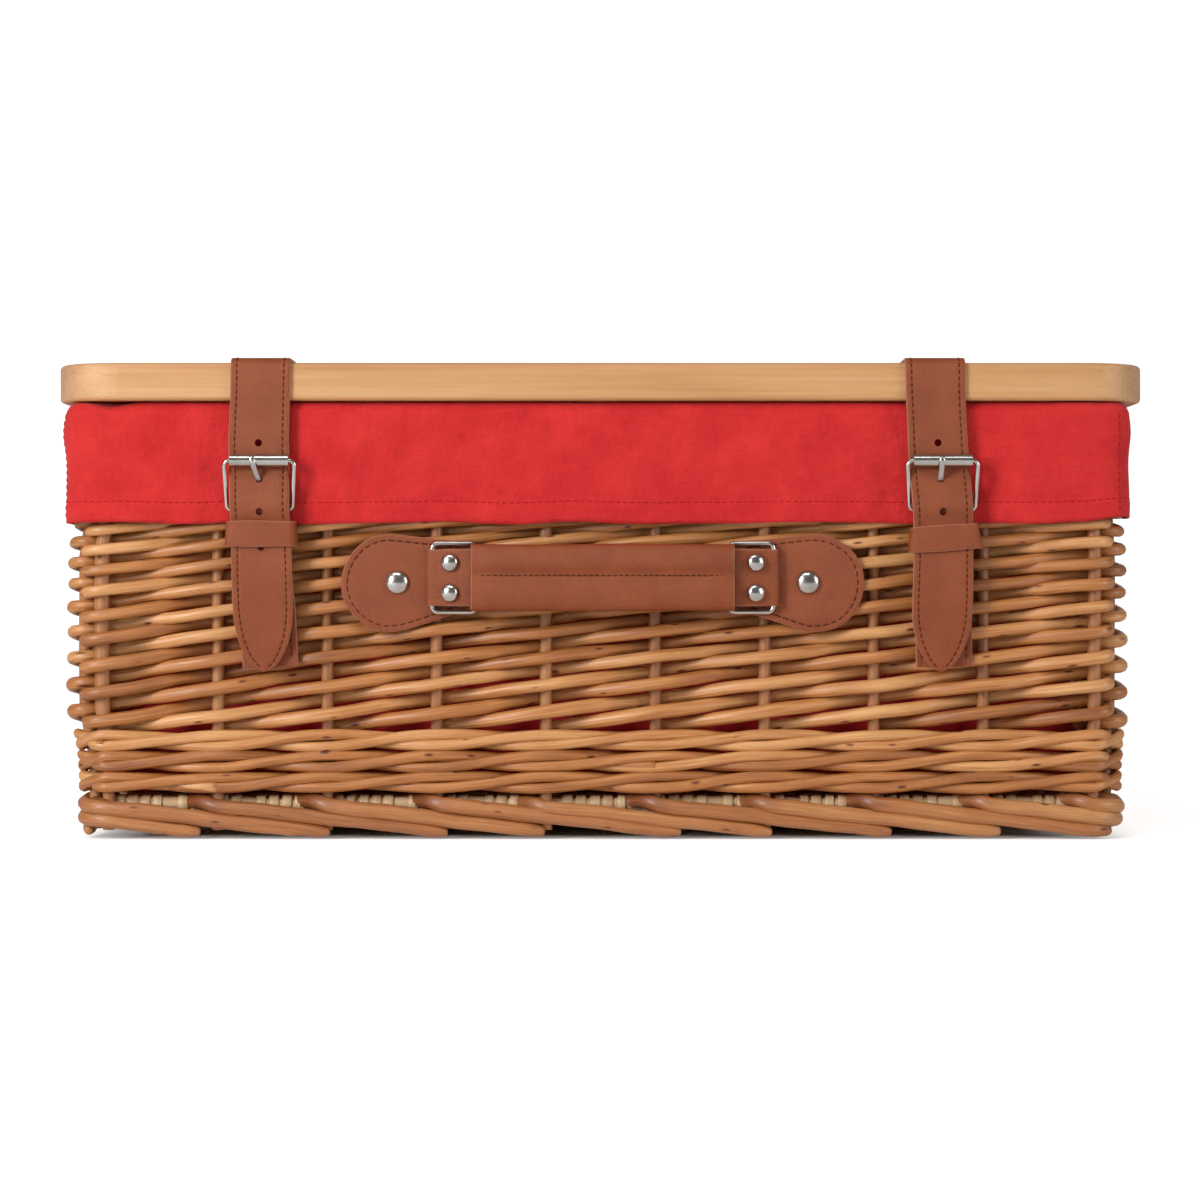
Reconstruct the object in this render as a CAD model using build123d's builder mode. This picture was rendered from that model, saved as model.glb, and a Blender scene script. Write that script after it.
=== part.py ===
from build123d import *
from math import atan2, cos, sin
import os

# A rectangular picnic hamper of woven willow, with a board lid, a cloth liner turned over the
# rim, two leather straps with buckles and a leather carrying handle. Millimetres. X runs along
# the hamper, -Y is its front and +Z is up. The wicker is drawn round its own middle, and each
# finished piece is then moved back a little, so that the origin is the middle of the whole
# footprint, handle and straps included, at the height of the foot that the hamper stands on.

# ---- Driving dimensions -------------------------------------------------------------------
GAP = 0.2                      # air left between pieces that only lie against each other
RUNNING = 0.05                 # radial clearance of everything that turns

LID_LENGTH = 478.0
LID_DEPTH = 330.0
LID_THICKNESS = 16.5
LID_CORNER = 29.0
LID_EASING = 2.0
LID_BOTTOM = 191.5
LID_SCREW_Y = (-112.0, 128.0)
LID_SCREW_SHANK = 1.5
LID_SCREW_DEPTH = 11.0
LID_SCREW_HEAD = 4.0
LID_SCREW_HEAD_HEIGHT = 1.8

WICKER_LENGTH = 460.0
WICKER_DEPTH = 320.0
WICKER_CORNER = 9.0
WALL = 14.6                    # one rod behind a stake and one in front of it
STAKE_RADIUS = 2.8
LONG_SIDE_STAKES = 10
LONG_SIDE_PITCH = 47.9
END_STAKES = 7
END_PITCH = 47.7
STAKE_FOOT = 4.0
STAKE_TOP = 188.0

FOOT_TOP = 17.0
FOOT_INSET = 1.5
WALE_BOTTOM = 19.2
WALE_ROWS = 3
WALE_ROW_HEIGHT = 9.0
SIDE_WEAVE_TOP = 170.0
UPPER_WALE_TOP = 180.0
RIM_TOP = 189.5

BASE_BOTTOM = 11.0
BASE_THICKNESS = 8.5
BASE_STICKS = 11
BASE_STICK_RADIUS = 3.0

CLOTH = 1.2
LINER_GAP = 3.0                # room for the rivets' washers behind the lining
CUFF_GAP = 1.1
CUFF_BOTTOM = 138.0

STRAP_WIDTH = 26.0
STRAP_THICKNESS = 2.0
STRAP_X = (-148.0, 148.5)
STRAP_BEND = 1.0
STRAP_TIP = 74.0
STRAP_TIP_LENGTH = 28.0
STRAP_HOLES = (173.0, 143.0, 127.6)
STRAP_HOLE_RADIUS = 1.45
PRONG_SLOT = 156.6
PRONG_SLOT_LENGTH = 5.0
BUCKLE_STRAP_WIDTH = 24.4
BUCKLE_STRAP_FOOT = 76.0
BUCKLE_FOLD_END = 118.0
PRONG_WINDOW_WIDTH = 4.4
PRONG_WINDOW_HEIGHT = 11.0
STRAP_RIVET_HEIGHT = 88.0
HINGE_STRAP_FOOT = 92.0
HINGE_STRAP_TOP = 187.5
HINGE_RIVET_HEIGHTS = (100.0, 116.0)
FOLD_CLOSES = 3.2              # below the heel bar, where the folded strap lies flat again

BUCKLE_WIRE = 0.95
BUCKLE_HEEL = 144.0
BUCKLE_TOP = 165.2
BUCKLE_HEEL_HALF = 14.2
BUCKLE_HEEL_CORNER = 1.9
BUCKLE_TOP_HALF = 15.4
BUCKLE_TOP_CORNER = 2.6
ROLLER_RADIUS = 2.8
ROLLER_LENGTH = 25.4
PRONG_WIDTH = 2.5
PRONG_THICKNESS = 1.2
KEEPER_THICKNESS = 1.3
KEEPER_BOTTOM = 127.5
KEEPER_LOWEST = 114.0
KEEPER_HEIGHT = 11.0
KEEPER_WIDTH = 31.0

HANDLE_X = 1.0
HANDLE_Z = 114.4
RING_WIRE = 1.1
RING_HEIGHT = 32.0
RING_CORNER = 2.6
RING_SLACK = 1.2               # play of the right ring's bar, which lets the handle fold
RING_INNER_X = 55.2            # from the handle's middle to the bar held by the patch
RING_OUTER_X = 74.2            # from the handle's middle to the bar held by the handle
HANDLE_PLY = 1.5
PATCH_THICKNESS = 1.9
PATCH_HEIGHT = 43.0
PATCH_DROP = 2.0
PATCH_RIVET_X = 89.5
PATCH_END_X = 115.5
TAB_HEIGHT = 24.4
TAB_RIVET_X = 66.3
TAB_RIVET_SPACING = 13.2
GRIP_HALF_LENGTH = 57.0
GRIP_HEIGHT = 28.9
GRIP_THICKNESS = 10.0
SLEEVE_THICKNESS = 1.2
TAB_RIVET_HEAD = 3.7
TAB_RIVET_DOME = 2.2
TAB_RIVET_TAIL = 2.6

RIVET_SHANK = 1.6
RIVET_BORE = 1.7
WASHER_RADIUS = 6.0
WASHER_THICKNESS = 0.8

# ---- Sizes that follow --------------------------------------------------------------------
HALF_DEPTH = WICKER_DEPTH / 2
WALL_MIDDLE_X = (WICKER_LENGTH - WALL) / 2
WALL_MIDDLE_Y = (WICKER_DEPTH - WALL) / 2
WALL_INNER_Y = HALF_DEPTH - WALL
CUFF_FACE = HALF_DEPTH + CUFF_GAP + CLOTH
LID_FACE = LID_DEPTH / 2
LID_TOP = LID_BOTTOM + LID_THICKNESS

BUCKLE_STRAP_BACK = CUFF_FACE + GAP + KEEPER_THICKNESS + GAP
BUCKLE_STRAP_FRONT = BUCKLE_STRAP_BACK + STRAP_THICKNESS
HEEL_OUT = BUCKLE_STRAP_FRONT + RUNNING + BUCKLE_WIRE
FOLD_FRONT = BUCKLE_STRAP_FRONT + GAP + STRAP_THICKNESS
STRAP_OVER_FOLD = FOLD_FRONT + GAP
STRAP_OVER_HEEL = HEEL_OUT + BUCKLE_WIRE + RUNNING + STRAP_THICKNESS + GAP
STRAP_OVER_LID = LID_FACE + GAP
ROLLER_OUT = STRAP_OVER_LID + STRAP_THICKNESS + GAP + ROLLER_RADIUS
BACK_STRAP_OUT = HALF_DEPTH + 2 * GAP

RING_INNER_OUT = HALF_DEPTH + 4 * GAP + RING_WIRE + RUNNING + HANDLE_PLY
PATCH_BACK = HALF_DEPTH + 2 * GAP
PATCH_FRONT = PATCH_BACK + PATCH_THICKNESS
LOOP_RADIUS = RING_WIRE + RUNNING + HANDLE_PLY
RING_OUTER_OUT = PATCH_FRONT + GAP + LOOP_RADIUS
GRIP_BACK = RING_INNER_OUT + LOOP_RADIUS + GAP
GRIP_OUT = GRIP_BACK + GRIP_THICKNESS / 2
TAB_OUT = GRIP_BACK + SLEEVE_THICKNESS + GAP + HANDLE_PLY
SLEEVE_INNER_FRONT = GRIP_BACK + GRIP_THICKNESS - SLEEVE_THICKNESS

FOOTPRINT_SHIFT = (GRIP_BACK + GRIP_THICKNESS - STRAP_OVER_LID - STRAP_THICKNESS) / 2

HEEL_BORE = BUCKLE_WIRE + RUNNING
PATCH_RIVETS = [(HANDLE_X + side * PATCH_RIVET_X, HANDLE_Z - PATCH_DROP) for side in (-1, 1)]
BUCKLE_STRAP_RIVETS = [(x, STRAP_RIVET_HEIGHT) for x in STRAP_X]
HINGE_STRAP_RIVETS = [(-x, height) for x in STRAP_X for height in HINGE_RIVET_HEIGHTS]

HALF_LONG_SIDE = LONG_SIDE_PITCH * (LONG_SIDE_STAKES - 1) / 2
HALF_END = END_PITCH * (END_STAKES - 1) / 2


# ---- Planes and small helpers -------------------------------------------------------------
def side_view(x, front=True):
    """Cross-section at x: local x is the distance out from the middle, local y the height."""
    if front:
        return Plane(origin=(x, 0, 0), x_dir=(0, -1, 0), z_dir=(-1, 0, 0))
    return Plane(origin=(x, 0, 0), x_dir=(0, 1, 0), z_dir=(1, 0, 0))


def front_view(x, out):
    """Plane facing the front, at a distance out from the middle: local y is the height."""
    return Plane(origin=(x, -out, 0), x_dir=(1, 0, 0), z_dir=(0, -1, 0))


def rear_view(x, out):
    """Plane facing the back, at a distance out from the middle: local y is the height."""
    return Plane(origin=(x, out, 0), x_dir=(-1, 0, 0), z_dir=(0, 1, 0))


def write_piece(piece, name):
    """Move a finished piece onto the frame's origin, label it and write its own STEP file."""
    placed = piece.part.moved(Location((0, FOOTPRINT_SHIFT, 0)))
    placed.label = name
    export_step(placed, f"parts/{name}.step")


def strip_section(points, thickness, bend, side=Side.RIGHT):
    """Section of a flat strip with one face along the points, thickened towards side."""
    with BuildSketch() as section:
        with BuildLine():
            FilletPolyline(*points, radius=bend)
            offset(amount=thickness, side=side)
        make_face()
    return section.sketch


def long_side_places(first, last):
    """Middles of the stakes first to last-1 on the front and back walls."""
    places = []
    for number in range(first, last):
        x = number * LONG_SIDE_PITCH - HALF_LONG_SIDE
        places.extend([(x, -WALL_MIDDLE_Y), (x, WALL_MIDDLE_Y)])
    return places


def end_places(first, last):
    """Middles of the stakes first to last-1 on the two end walls."""
    places = []
    for number in range(first, last):
        y = number * END_PITCH - HALF_END
        places.extend([(-WALL_MIDDLE_X, y), (WALL_MIDDLE_X, y)])
    return places


ALL_STAKES = long_side_places(0, LONG_SIDE_STAKES) + end_places(0, END_STAKES)


def wall_outline(bottom, inset=0.0):
    """Plan of the wall at a height, its outer face drawn in by inset."""
    length = WICKER_LENGTH - 2 * inset
    depth = WICKER_DEPTH - 2 * inset
    with BuildSketch(Plane.XY.offset(bottom)) as outline:
        RectangleRounded(length, depth, WICKER_CORNER)
        RectangleRounded(length - 2 * WALL, depth - 2 * WALL, 1.0, mode=Mode.SUBTRACT)
    return outline.sketch


def stake_sockets(bottom):
    """Plan of the holes round every stake at a height."""
    with BuildSketch(Plane.XY.offset(bottom)) as sockets:
        with Locations(*ALL_STAKES):
            Circle(STAKE_RADIUS + GAP / 2)
    return sockets.sketch


def write_stakes(places, name):
    """One node of round willow stakes at the given places."""
    with BuildPart() as stakes:
        with BuildSketch(Plane.XY.offset(STAKE_FOOT)):
            with Locations(*places):
                Circle(STAKE_RADIUS)
        extrude(amount=STAKE_TOP - STAKE_FOOT)
    write_piece(stakes, name)


# ---- Wicker body --------------------------------------------------------------------------
corner_places = long_side_places(0, 1) + long_side_places(LONG_SIDE_STAKES - 1, LONG_SIDE_STAKES)
corner_places += end_places(0, 1) + end_places(END_STAKES - 1, END_STAKES)
write_stakes(corner_places, "corner_stakes")
write_stakes(long_side_places(1, LONG_SIDE_STAKES - 1), "long_side_stakes")
write_stakes(end_places(1, END_STAKES - 1), "end_stakes")

base_length = WICKER_LENGTH - 2 * (WALL + FOOT_INSET) - 2 * GAP
base_depth = WICKER_DEPTH - 2 * (WALL + FOOT_INSET) - 2 * GAP
base_middle = BASE_BOTTOM + BASE_THICKNESS / 2
stick_pitch = base_depth / BASE_STICKS

with BuildPart() as base_sticks:
    with BuildSketch(Plane.YZ.offset(-base_length / 2)):
        with Locations((0, base_middle)):
            with GridLocations(stick_pitch, 1, BASE_STICKS, 1):
                Circle(BASE_STICK_RADIUS)
    extrude(amount=base_length)
write_piece(base_sticks, "base_sticks")

with BuildPart() as base_weave:
    with BuildSketch(Plane.XY.offset(BASE_BOTTOM)):
        RectangleRounded(base_length, base_depth, 1.0)
    extrude(amount=BASE_THICKNESS)
    with BuildSketch(Plane.YZ.offset(-base_length / 2)):
        with Locations((0, base_middle)):
            with GridLocations(stick_pitch, 1, BASE_STICKS, 1):
                Circle(BASE_STICK_RADIUS + GAP / 2)
    extrude(amount=base_length, mode=Mode.SUBTRACT)
write_piece(base_weave, "base_weave")

with BuildPart() as foot_border:
    extrude(wall_outline(0, FOOT_INSET), amount=FOOT_TOP)
    extrude(stake_sockets(STAKE_FOOT - GAP), amount=FOOT_TOP, mode=Mode.SUBTRACT)
write_piece(foot_border, "foot_border")

with BuildPart() as lower_wale:
    for row in range(WALE_ROWS):
        row_bottom = WALE_BOTTOM + row * WALE_ROW_HEIGHT
        extrude(wall_outline(row_bottom), amount=WALE_ROW_HEIGHT - GAP)
    extrude(stake_sockets(WALE_BOTTOM), amount=WALE_ROWS * WALE_ROW_HEIGHT, mode=Mode.SUBTRACT)
write_piece(lower_wale, "lower_wale")

side_weave_bottom = WALE_BOTTOM + WALE_ROWS * WALE_ROW_HEIGHT
side_weave_height = SIDE_WEAVE_TOP - side_weave_bottom

with BuildPart() as side_weave:
    extrude(wall_outline(side_weave_bottom), amount=side_weave_height)
    extrude(stake_sockets(side_weave_bottom), amount=side_weave_height, mode=Mode.SUBTRACT)
    with BuildSketch(front_view(0, HALF_DEPTH)):
        with Locations(*PATCH_RIVETS, *BUCKLE_STRAP_RIVETS):
            Circle(RIVET_BORE)
    extrude(amount=-WALL, mode=Mode.SUBTRACT)
    with BuildSketch(rear_view(0, HALF_DEPTH)):
        with Locations(*HINGE_STRAP_RIVETS):
            Circle(RIVET_BORE)
    extrude(amount=-WALL, mode=Mode.SUBTRACT)
write_piece(side_weave, "side_weave")

with BuildPart() as upper_wale:
    extrude(wall_outline(SIDE_WEAVE_TOP + GAP), amount=UPPER_WALE_TOP - SIDE_WEAVE_TOP - GAP)
    extrude(stake_sockets(SIDE_WEAVE_TOP), amount=WALE_ROW_HEIGHT * 2, mode=Mode.SUBTRACT)
write_piece(upper_wale, "upper_wale")

with BuildPart() as top_border:
    extrude(wall_outline(UPPER_WALE_TOP + GAP), amount=RIM_TOP - UPPER_WALE_TOP - GAP)
    extrude(stake_sockets(UPPER_WALE_TOP), amount=STAKE_TOP + GAP - UPPER_WALE_TOP, mode=Mode.SUBTRACT)
write_piece(top_border, "top_border")

# ---- Cloth liner --------------------------------------------------------------------------
liner_length = WICKER_LENGTH - 2 * (WALL + LINER_GAP)
liner_depth = WICKER_DEPTH - 2 * (WALL + LINER_GAP)
liner_floor_bottom = BASE_BOTTOM + BASE_THICKNESS + GAP

with BuildPart() as liner_floor:
    with BuildSketch(Plane.XY.offset(liner_floor_bottom)):
        RectangleRounded(liner_length, liner_depth, 6.0)
    extrude(amount=CLOTH)
write_piece(liner_floor, "liner_floor")

with BuildPart() as liner_walls:
    with BuildSketch(Plane.XY.offset(liner_floor_bottom + CLOTH + GAP)):
        RectangleRounded(liner_length, liner_depth, 6.0)
        offset(amount=-CLOTH, mode=Mode.SUBTRACT)
    extrude(amount=RIM_TOP - liner_floor_bottom - CLOTH - GAP)
write_piece(liner_walls, "liner_walls")

cuff_length = WICKER_LENGTH + 2 * (CUFF_GAP + CLOTH)
cuff_depth = 2 * CUFF_FACE
cuff_top = RIM_TOP + GAP + CLOTH

with BuildPart() as liner_cuff:
    with BuildSketch(Plane.XY.offset(CUFF_BOTTOM)):
        RectangleRounded(cuff_length, cuff_depth, WICKER_CORNER + CUFF_GAP + CLOTH)
    extrude(amount=cuff_top - CUFF_BOTTOM)
    with BuildSketch(Plane.XY.offset(CUFF_BOTTOM)):
        RectangleRounded(cuff_length - 2 * CLOTH, cuff_depth - 2 * CLOTH, WICKER_CORNER + CUFF_GAP)
    extrude(amount=RIM_TOP + GAP - CUFF_BOTTOM, mode=Mode.SUBTRACT)
    with BuildSketch(Plane.XY.offset(CUFF_BOTTOM)):
        RectangleRounded(liner_length - 2 * CLOTH, liner_depth - 2 * CLOTH, 6.0 - CLOTH)
    extrude(amount=cuff_top - CUFF_BOTTOM, mode=Mode.SUBTRACT)
write_piece(liner_cuff, "liner_cuff")

# ---- Lid and the straps fixed on it -------------------------------------------------------
lid_strap_bottom = LID_TOP + GAP
lid_strap_top = lid_strap_bottom + STRAP_THICKNESS
lid_screw_places = [(x, y) for x in STRAP_X for y in LID_SCREW_Y]

with BuildPart() as lid_board:
    with BuildSketch(Plane.XY.offset(LID_BOTTOM)):
        RectangleRounded(LID_LENGTH, LID_DEPTH, LID_CORNER)
    extrude(amount=LID_THICKNESS)
    level_edges = lid_board.edges().group_by(Axis.Z)
    fillet(level_edges[0] + level_edges[-1], radius=LID_EASING)
    with BuildSketch(Plane.XY.offset(LID_TOP)):
        with Locations(*lid_screw_places):
            Circle(LID_SCREW_SHANK + GAP / 2)
    extrude(amount=-LID_SCREW_DEPTH, mode=Mode.SUBTRACT)
write_piece(lid_board, "lid_board")

with BuildPart() as lid_screws:
    with BuildSketch(Plane.XY.offset(lid_strap_top)):
        with Locations(*lid_screw_places):
            Circle(LID_SCREW_SHANK)
    extrude(amount=-(lid_strap_top - LID_TOP + LID_SCREW_DEPTH - GAP))
    with BuildSketch(Plane.XY.offset(lid_strap_top)):
        with Locations(*lid_screw_places):
            Circle(LID_SCREW_HEAD)
    extrude(amount=LID_SCREW_HEAD_HEIGHT)
    fillet(lid_screws.edges().group_by(Axis.Z)[-1], radius=LID_SCREW_HEAD_HEIGHT * 0.8)
write_piece(lid_screws, "lid_screws")

bend_out = LID_FACE - LID_EASING
bend_height = LID_TOP - LID_EASING
bend_radius = LID_EASING + GAP


def write_lid_strap(x, name):
    """Leather strap across the lid and down its back edge."""
    with BuildPart() as lid_strap:
        with BuildSketch(side_view(x, front=False)):
            add(strip_section(
                [
                    (-bend_out + GAP, lid_strap_bottom),
                    (STRAP_OVER_LID, lid_strap_bottom),
                    (STRAP_OVER_LID, LID_BOTTOM + GAP),
                ],
                STRAP_THICKNESS, bend_radius, Side.LEFT))
        extrude(amount=STRAP_WIDTH / 2, both=True)
        with BuildSketch(Plane.XY.offset(lid_strap_top)):
            with Locations(*[(x, y) for y in LID_SCREW_Y]):
                Circle(LID_SCREW_SHANK + GAP / 2)
        extrude(amount=-STRAP_THICKNESS, mode=Mode.SUBTRACT)
    write_piece(lid_strap, name)


def write_hinge_strap(x, name):
    """Leather strap on the back wall that the lid swings on."""
    cuff_out = CUFF_FACE + GAP
    with BuildPart() as hinge_strap:
        with BuildSketch(side_view(x, front=False)):
            add(strip_section(
                [
                    (BACK_STRAP_OUT, HINGE_STRAP_FOOT),
                    (BACK_STRAP_OUT, CUFF_BOTTOM - 14),
                    (cuff_out, CUFF_BOTTOM - 3),
                    (cuff_out, HINGE_STRAP_TOP - 11),
                    (STRAP_OVER_LID, HINGE_STRAP_TOP - 1.5),
                    (STRAP_OVER_LID, HINGE_STRAP_TOP),
                ],
                STRAP_THICKNESS, STRAP_BEND))
        extrude(amount=STRAP_WIDTH / 2, both=True)
        with BuildSketch(rear_view(x, HALF_DEPTH)):
            with Locations(*[(0, z) for z in HINGE_RIVET_HEIGHTS]):
                Circle(RIVET_BORE)
        extrude(amount=STRAP_THICKNESS * 2, mode=Mode.SUBTRACT)
    write_piece(hinge_strap, name)


def write_strap_end(x, name):
    """Pointed leather end that hangs over the lid's front edge and through the buckle."""
    half_width = STRAP_WIDTH / 2
    shoulder = STRAP_TIP + STRAP_TIP_LENGTH
    with BuildPart() as strap_end:
        with BuildSketch(side_view(x)):
            add(strip_section(
                [
                    (bend_out - GAP, lid_strap_bottom),
                    (STRAP_OVER_LID, lid_strap_bottom),
                    (STRAP_OVER_LID, BUCKLE_TOP - ROLLER_RADIUS - 0.4),
                    (STRAP_OVER_HEEL, BUCKLE_HEEL + 3.5),
                    (STRAP_OVER_HEEL, BUCKLE_HEEL - 0.6),
                    (STRAP_OVER_FOLD, BUCKLE_HEEL - FOLD_CLOSES - 0.8),
                    (STRAP_OVER_FOLD, KEEPER_LOWEST),
                    (BACK_STRAP_OUT + STRAP_THICKNESS + 0.8, STRAP_TIP - 1),
                ],
                STRAP_THICKNESS, STRAP_BEND, Side.LEFT))
        extrude(amount=half_width, both=True)
        with BuildSketch(front_view(x, bend_out - 1)):
            with BuildLine():
                side_line = Line((-half_width, lid_strap_top), (-half_width, shoulder))
                tip_curve = TangentArc(side_line @ 1, (0, STRAP_TIP), tangent=(0, -1))
                mirror(side_line, about=Plane.YZ)
                mirror(tip_curve, about=Plane.YZ)
                Line((-half_width, lid_strap_top), (half_width, lid_strap_top))
            make_face()
        extrude(amount=STRAP_THICKNESS * 7, mode=Mode.INTERSECT)
        with BuildSketch(front_view(x, bend_out)):
            with Locations(*[(0, z) for z in STRAP_HOLES]):
                Circle(STRAP_HOLE_RADIUS)
            with Locations((0, PRONG_SLOT)):
                SlotOverall(PRONG_SLOT_LENGTH, 2 * STRAP_HOLE_RADIUS, rotation=90)
        extrude(amount=STRAP_THICKNESS * 7, mode=Mode.SUBTRACT)
    write_piece(strap_end, name)


# ---- Buckles ------------------------------------------------------------------------------
def write_buckle_strap(x, name):
    """Leather strap on the front wall, folded round the buckle's heel bar."""
    with BuildPart() as buckle_strap:
        with BuildSketch(side_view(x)):
            add(strip_section(
                [
                    (BACK_STRAP_OUT, BUCKLE_STRAP_FOOT),
                    (BACK_STRAP_OUT, BUCKLE_FOLD_END - 20),
                    (BUCKLE_STRAP_BACK, BUCKLE_FOLD_END - 6),
                    (BUCKLE_STRAP_BACK, BUCKLE_HEEL),
                ],
                STRAP_THICKNESS, STRAP_BEND))
            add(strip_section(
                [
                    (HEEL_OUT + HEEL_BORE, BUCKLE_HEEL),
                    (BUCKLE_STRAP_FRONT + GAP, BUCKLE_HEEL - FOLD_CLOSES),
                    (BUCKLE_STRAP_FRONT + GAP, BUCKLE_FOLD_END),
                ],
                STRAP_THICKNESS, STRAP_BEND, Side.LEFT))
            with Locations((HEEL_OUT, BUCKLE_HEEL)):
                Circle(HEEL_BORE + STRAP_THICKNESS)
                Circle(HEEL_BORE, mode=Mode.SUBTRACT)
        extrude(amount=BUCKLE_STRAP_WIDTH / 2, both=True)
        with BuildSketch(front_view(x, CUFF_FACE)):
            with Locations((0, BUCKLE_HEEL)):
                SlotOverall(PRONG_WINDOW_HEIGHT, PRONG_WINDOW_WIDTH, rotation=90)
            with Locations((0, STRAP_RIVET_HEIGHT)):
                Circle(RIVET_BORE)
        extrude(amount=STRAP_THICKNESS * 5, both=True, mode=Mode.SUBTRACT)
    write_piece(buckle_strap, name)


buckle_rise = BUCKLE_TOP - BUCKLE_HEEL
buckle_lean = ROLLER_OUT - HEEL_OUT
buckle_height = (buckle_rise**2 + buckle_lean**2) ** 0.5


def write_buckle_frame(x, name):
    """Wire frame of the buckle, wider at its roller bar than at its heel bar."""
    frame_plane = Plane(
        origin=(x, -HEEL_OUT, BUCKLE_HEEL), x_dir=(1, 0, 0), z_dir=(0, -buckle_rise, -buckle_lean)
    )
    with BuildPart() as buckle_frame:
        with BuildLine(frame_plane) as outline:
            Polyline(
                (0, 0),
                (BUCKLE_HEEL_HALF, 0),
                (BUCKLE_TOP_HALF, buckle_height),
                (-BUCKLE_TOP_HALF, buckle_height),
                (-BUCKLE_HEEL_HALF, 0),
                (0, 0),
            )
            heel_corners = [v for v in outline.vertices() if abs(v.Z - BUCKLE_HEEL) < 1]
            heel_corners = [v for v in heel_corners if abs(v.X - x) > 1]
            top_corners = [v for v in outline.vertices() if abs(v.Z - BUCKLE_TOP) < 1]
            fillet(heel_corners, radius=BUCKLE_HEEL_CORNER)
            fillet(top_corners, radius=BUCKLE_TOP_CORNER)
        with BuildSketch(Plane(origin=(x, -HEEL_OUT, BUCKLE_HEEL), z_dir=(1, 0, 0))):
            Circle(BUCKLE_WIRE)
        sweep(path=outline.wires()[0])
    write_piece(buckle_frame, name)


def write_roller(x, name):
    """Rolled sheet tube that turns on the buckle's top bar."""
    with BuildPart() as roller:
        with BuildSketch(side_view(x)):
            with Locations((ROLLER_OUT, BUCKLE_TOP)):
                Circle(ROLLER_RADIUS)
                Circle(HEEL_BORE, mode=Mode.SUBTRACT)
        extrude(amount=ROLLER_LENGTH / 2, both=True)
    write_piece(roller, name)


def write_prong(x, name):
    """Flat prong that hooks round the heel bar and lies over the roller."""
    roller_face = ROLLER_OUT + ROLLER_RADIUS + GAP
    with BuildPart() as prong:
        with BuildSketch(side_view(x)):
            add(strip_section(
                [
                    (HEEL_OUT - 0.4, BUCKLE_HEEL + 1.5),
                    (HEEL_OUT - 1.4, BUCKLE_HEEL + 10.5),
                    (roller_face, BUCKLE_TOP - 1.8),
                    (roller_face, BUCKLE_TOP + 1.0),
                    (roller_face - 1.6, BUCKLE_TOP + 3.8),
                ],
                PRONG_THICKNESS, 0.8))
            with Locations((HEEL_OUT, BUCKLE_HEEL)):
                Circle(HEEL_BORE + PRONG_THICKNESS)
                Circle(HEEL_BORE, mode=Mode.SUBTRACT)
        extrude(amount=PRONG_WIDTH / 2, both=True)
    write_piece(prong, name)


def write_keeper(x, name):
    """Leather loop that holds the strap's end against the buckle strap."""
    back = CUFF_FACE + GAP
    depth = STRAP_OVER_FOLD + STRAP_THICKNESS + GAP + KEEPER_THICKNESS - back
    with BuildPart() as keeper:
        with BuildSketch(Plane.XY.offset(KEEPER_BOTTOM)):
            with Locations((x, -back - depth / 2)):
                RectangleRounded(KEEPER_WIDTH, depth, 2.0)
                offset(amount=-KEEPER_THICKNESS, mode=Mode.SUBTRACT)
        extrude(amount=KEEPER_HEIGHT)
    write_piece(keeper, name)


for strap_x, side_name in zip(STRAP_X, ("left", "right")):
    write_lid_strap(strap_x, side_name + "_lid_strap")
    write_hinge_strap(strap_x, side_name + "_hinge_strap")
    write_strap_end(strap_x, side_name + "_strap_end")
    write_buckle_strap(strap_x, side_name + "_buckle_strap")
    write_buckle_frame(strap_x, side_name + "_buckle_frame")
    write_roller(strap_x, side_name + "_buckle_roller")
    write_prong(strap_x, side_name + "_buckle_prong")
    write_keeper(strap_x, side_name + "_keeper")


# ---- Carrying handle ----------------------------------------------------------------------
ring_lean = RING_OUTER_OUT - RING_INNER_OUT
ring_bar_height = RING_HEIGHT - 2 * RING_WIRE
ring_bore = RING_WIRE + RUNNING
handle_bottom = HANDLE_Z - TAB_HEIGHT / 2


def write_patch(side, slack, name):
    """Leather patch on the front wall, looped round the ring's inner bar."""
    egg_radius = PATCH_HEIGHT / 2
    loop_x = HANDLE_X + side * (RING_INNER_X + slack / 2)
    with BuildPart() as patch:
        with BuildSketch(front_view(HANDLE_X, PATCH_BACK)):
            with Locations((side * (PATCH_END_X - egg_radius), HANDLE_Z - PATCH_DROP)):
                Circle(egg_radius)
            with Locations((side * (RING_INNER_X + 1.5), HANDLE_Z)):
                Rectangle(3.0, TAB_HEIGHT)
            make_hull()
        extrude(amount=PATCH_THICKNESS)
        with BuildSketch(Plane.XY.offset(handle_bottom)):
            with Locations((loop_x, -RING_INNER_OUT)):
                SlotOverall(2 * LOOP_RADIUS + slack + 0.001, 2 * LOOP_RADIUS)
        extrude(amount=TAB_HEIGHT)
        with BuildSketch(Plane.XY.offset(handle_bottom)):
            with Locations((loop_x, -RING_INNER_OUT)):
                SlotOverall(2 * ring_bore + slack + 0.001, 2 * ring_bore)
        extrude(amount=TAB_HEIGHT, mode=Mode.SUBTRACT)
        with BuildSketch(front_view(HANDLE_X, HALF_DEPTH)):
            with Locations((side * PATCH_RIVET_X, HANDLE_Z - PATCH_DROP)):
                Circle(RIVET_BORE)
        extrude(amount=PATCH_THICKNESS * 2, mode=Mode.SUBTRACT)
    write_piece(patch, name)


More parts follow.
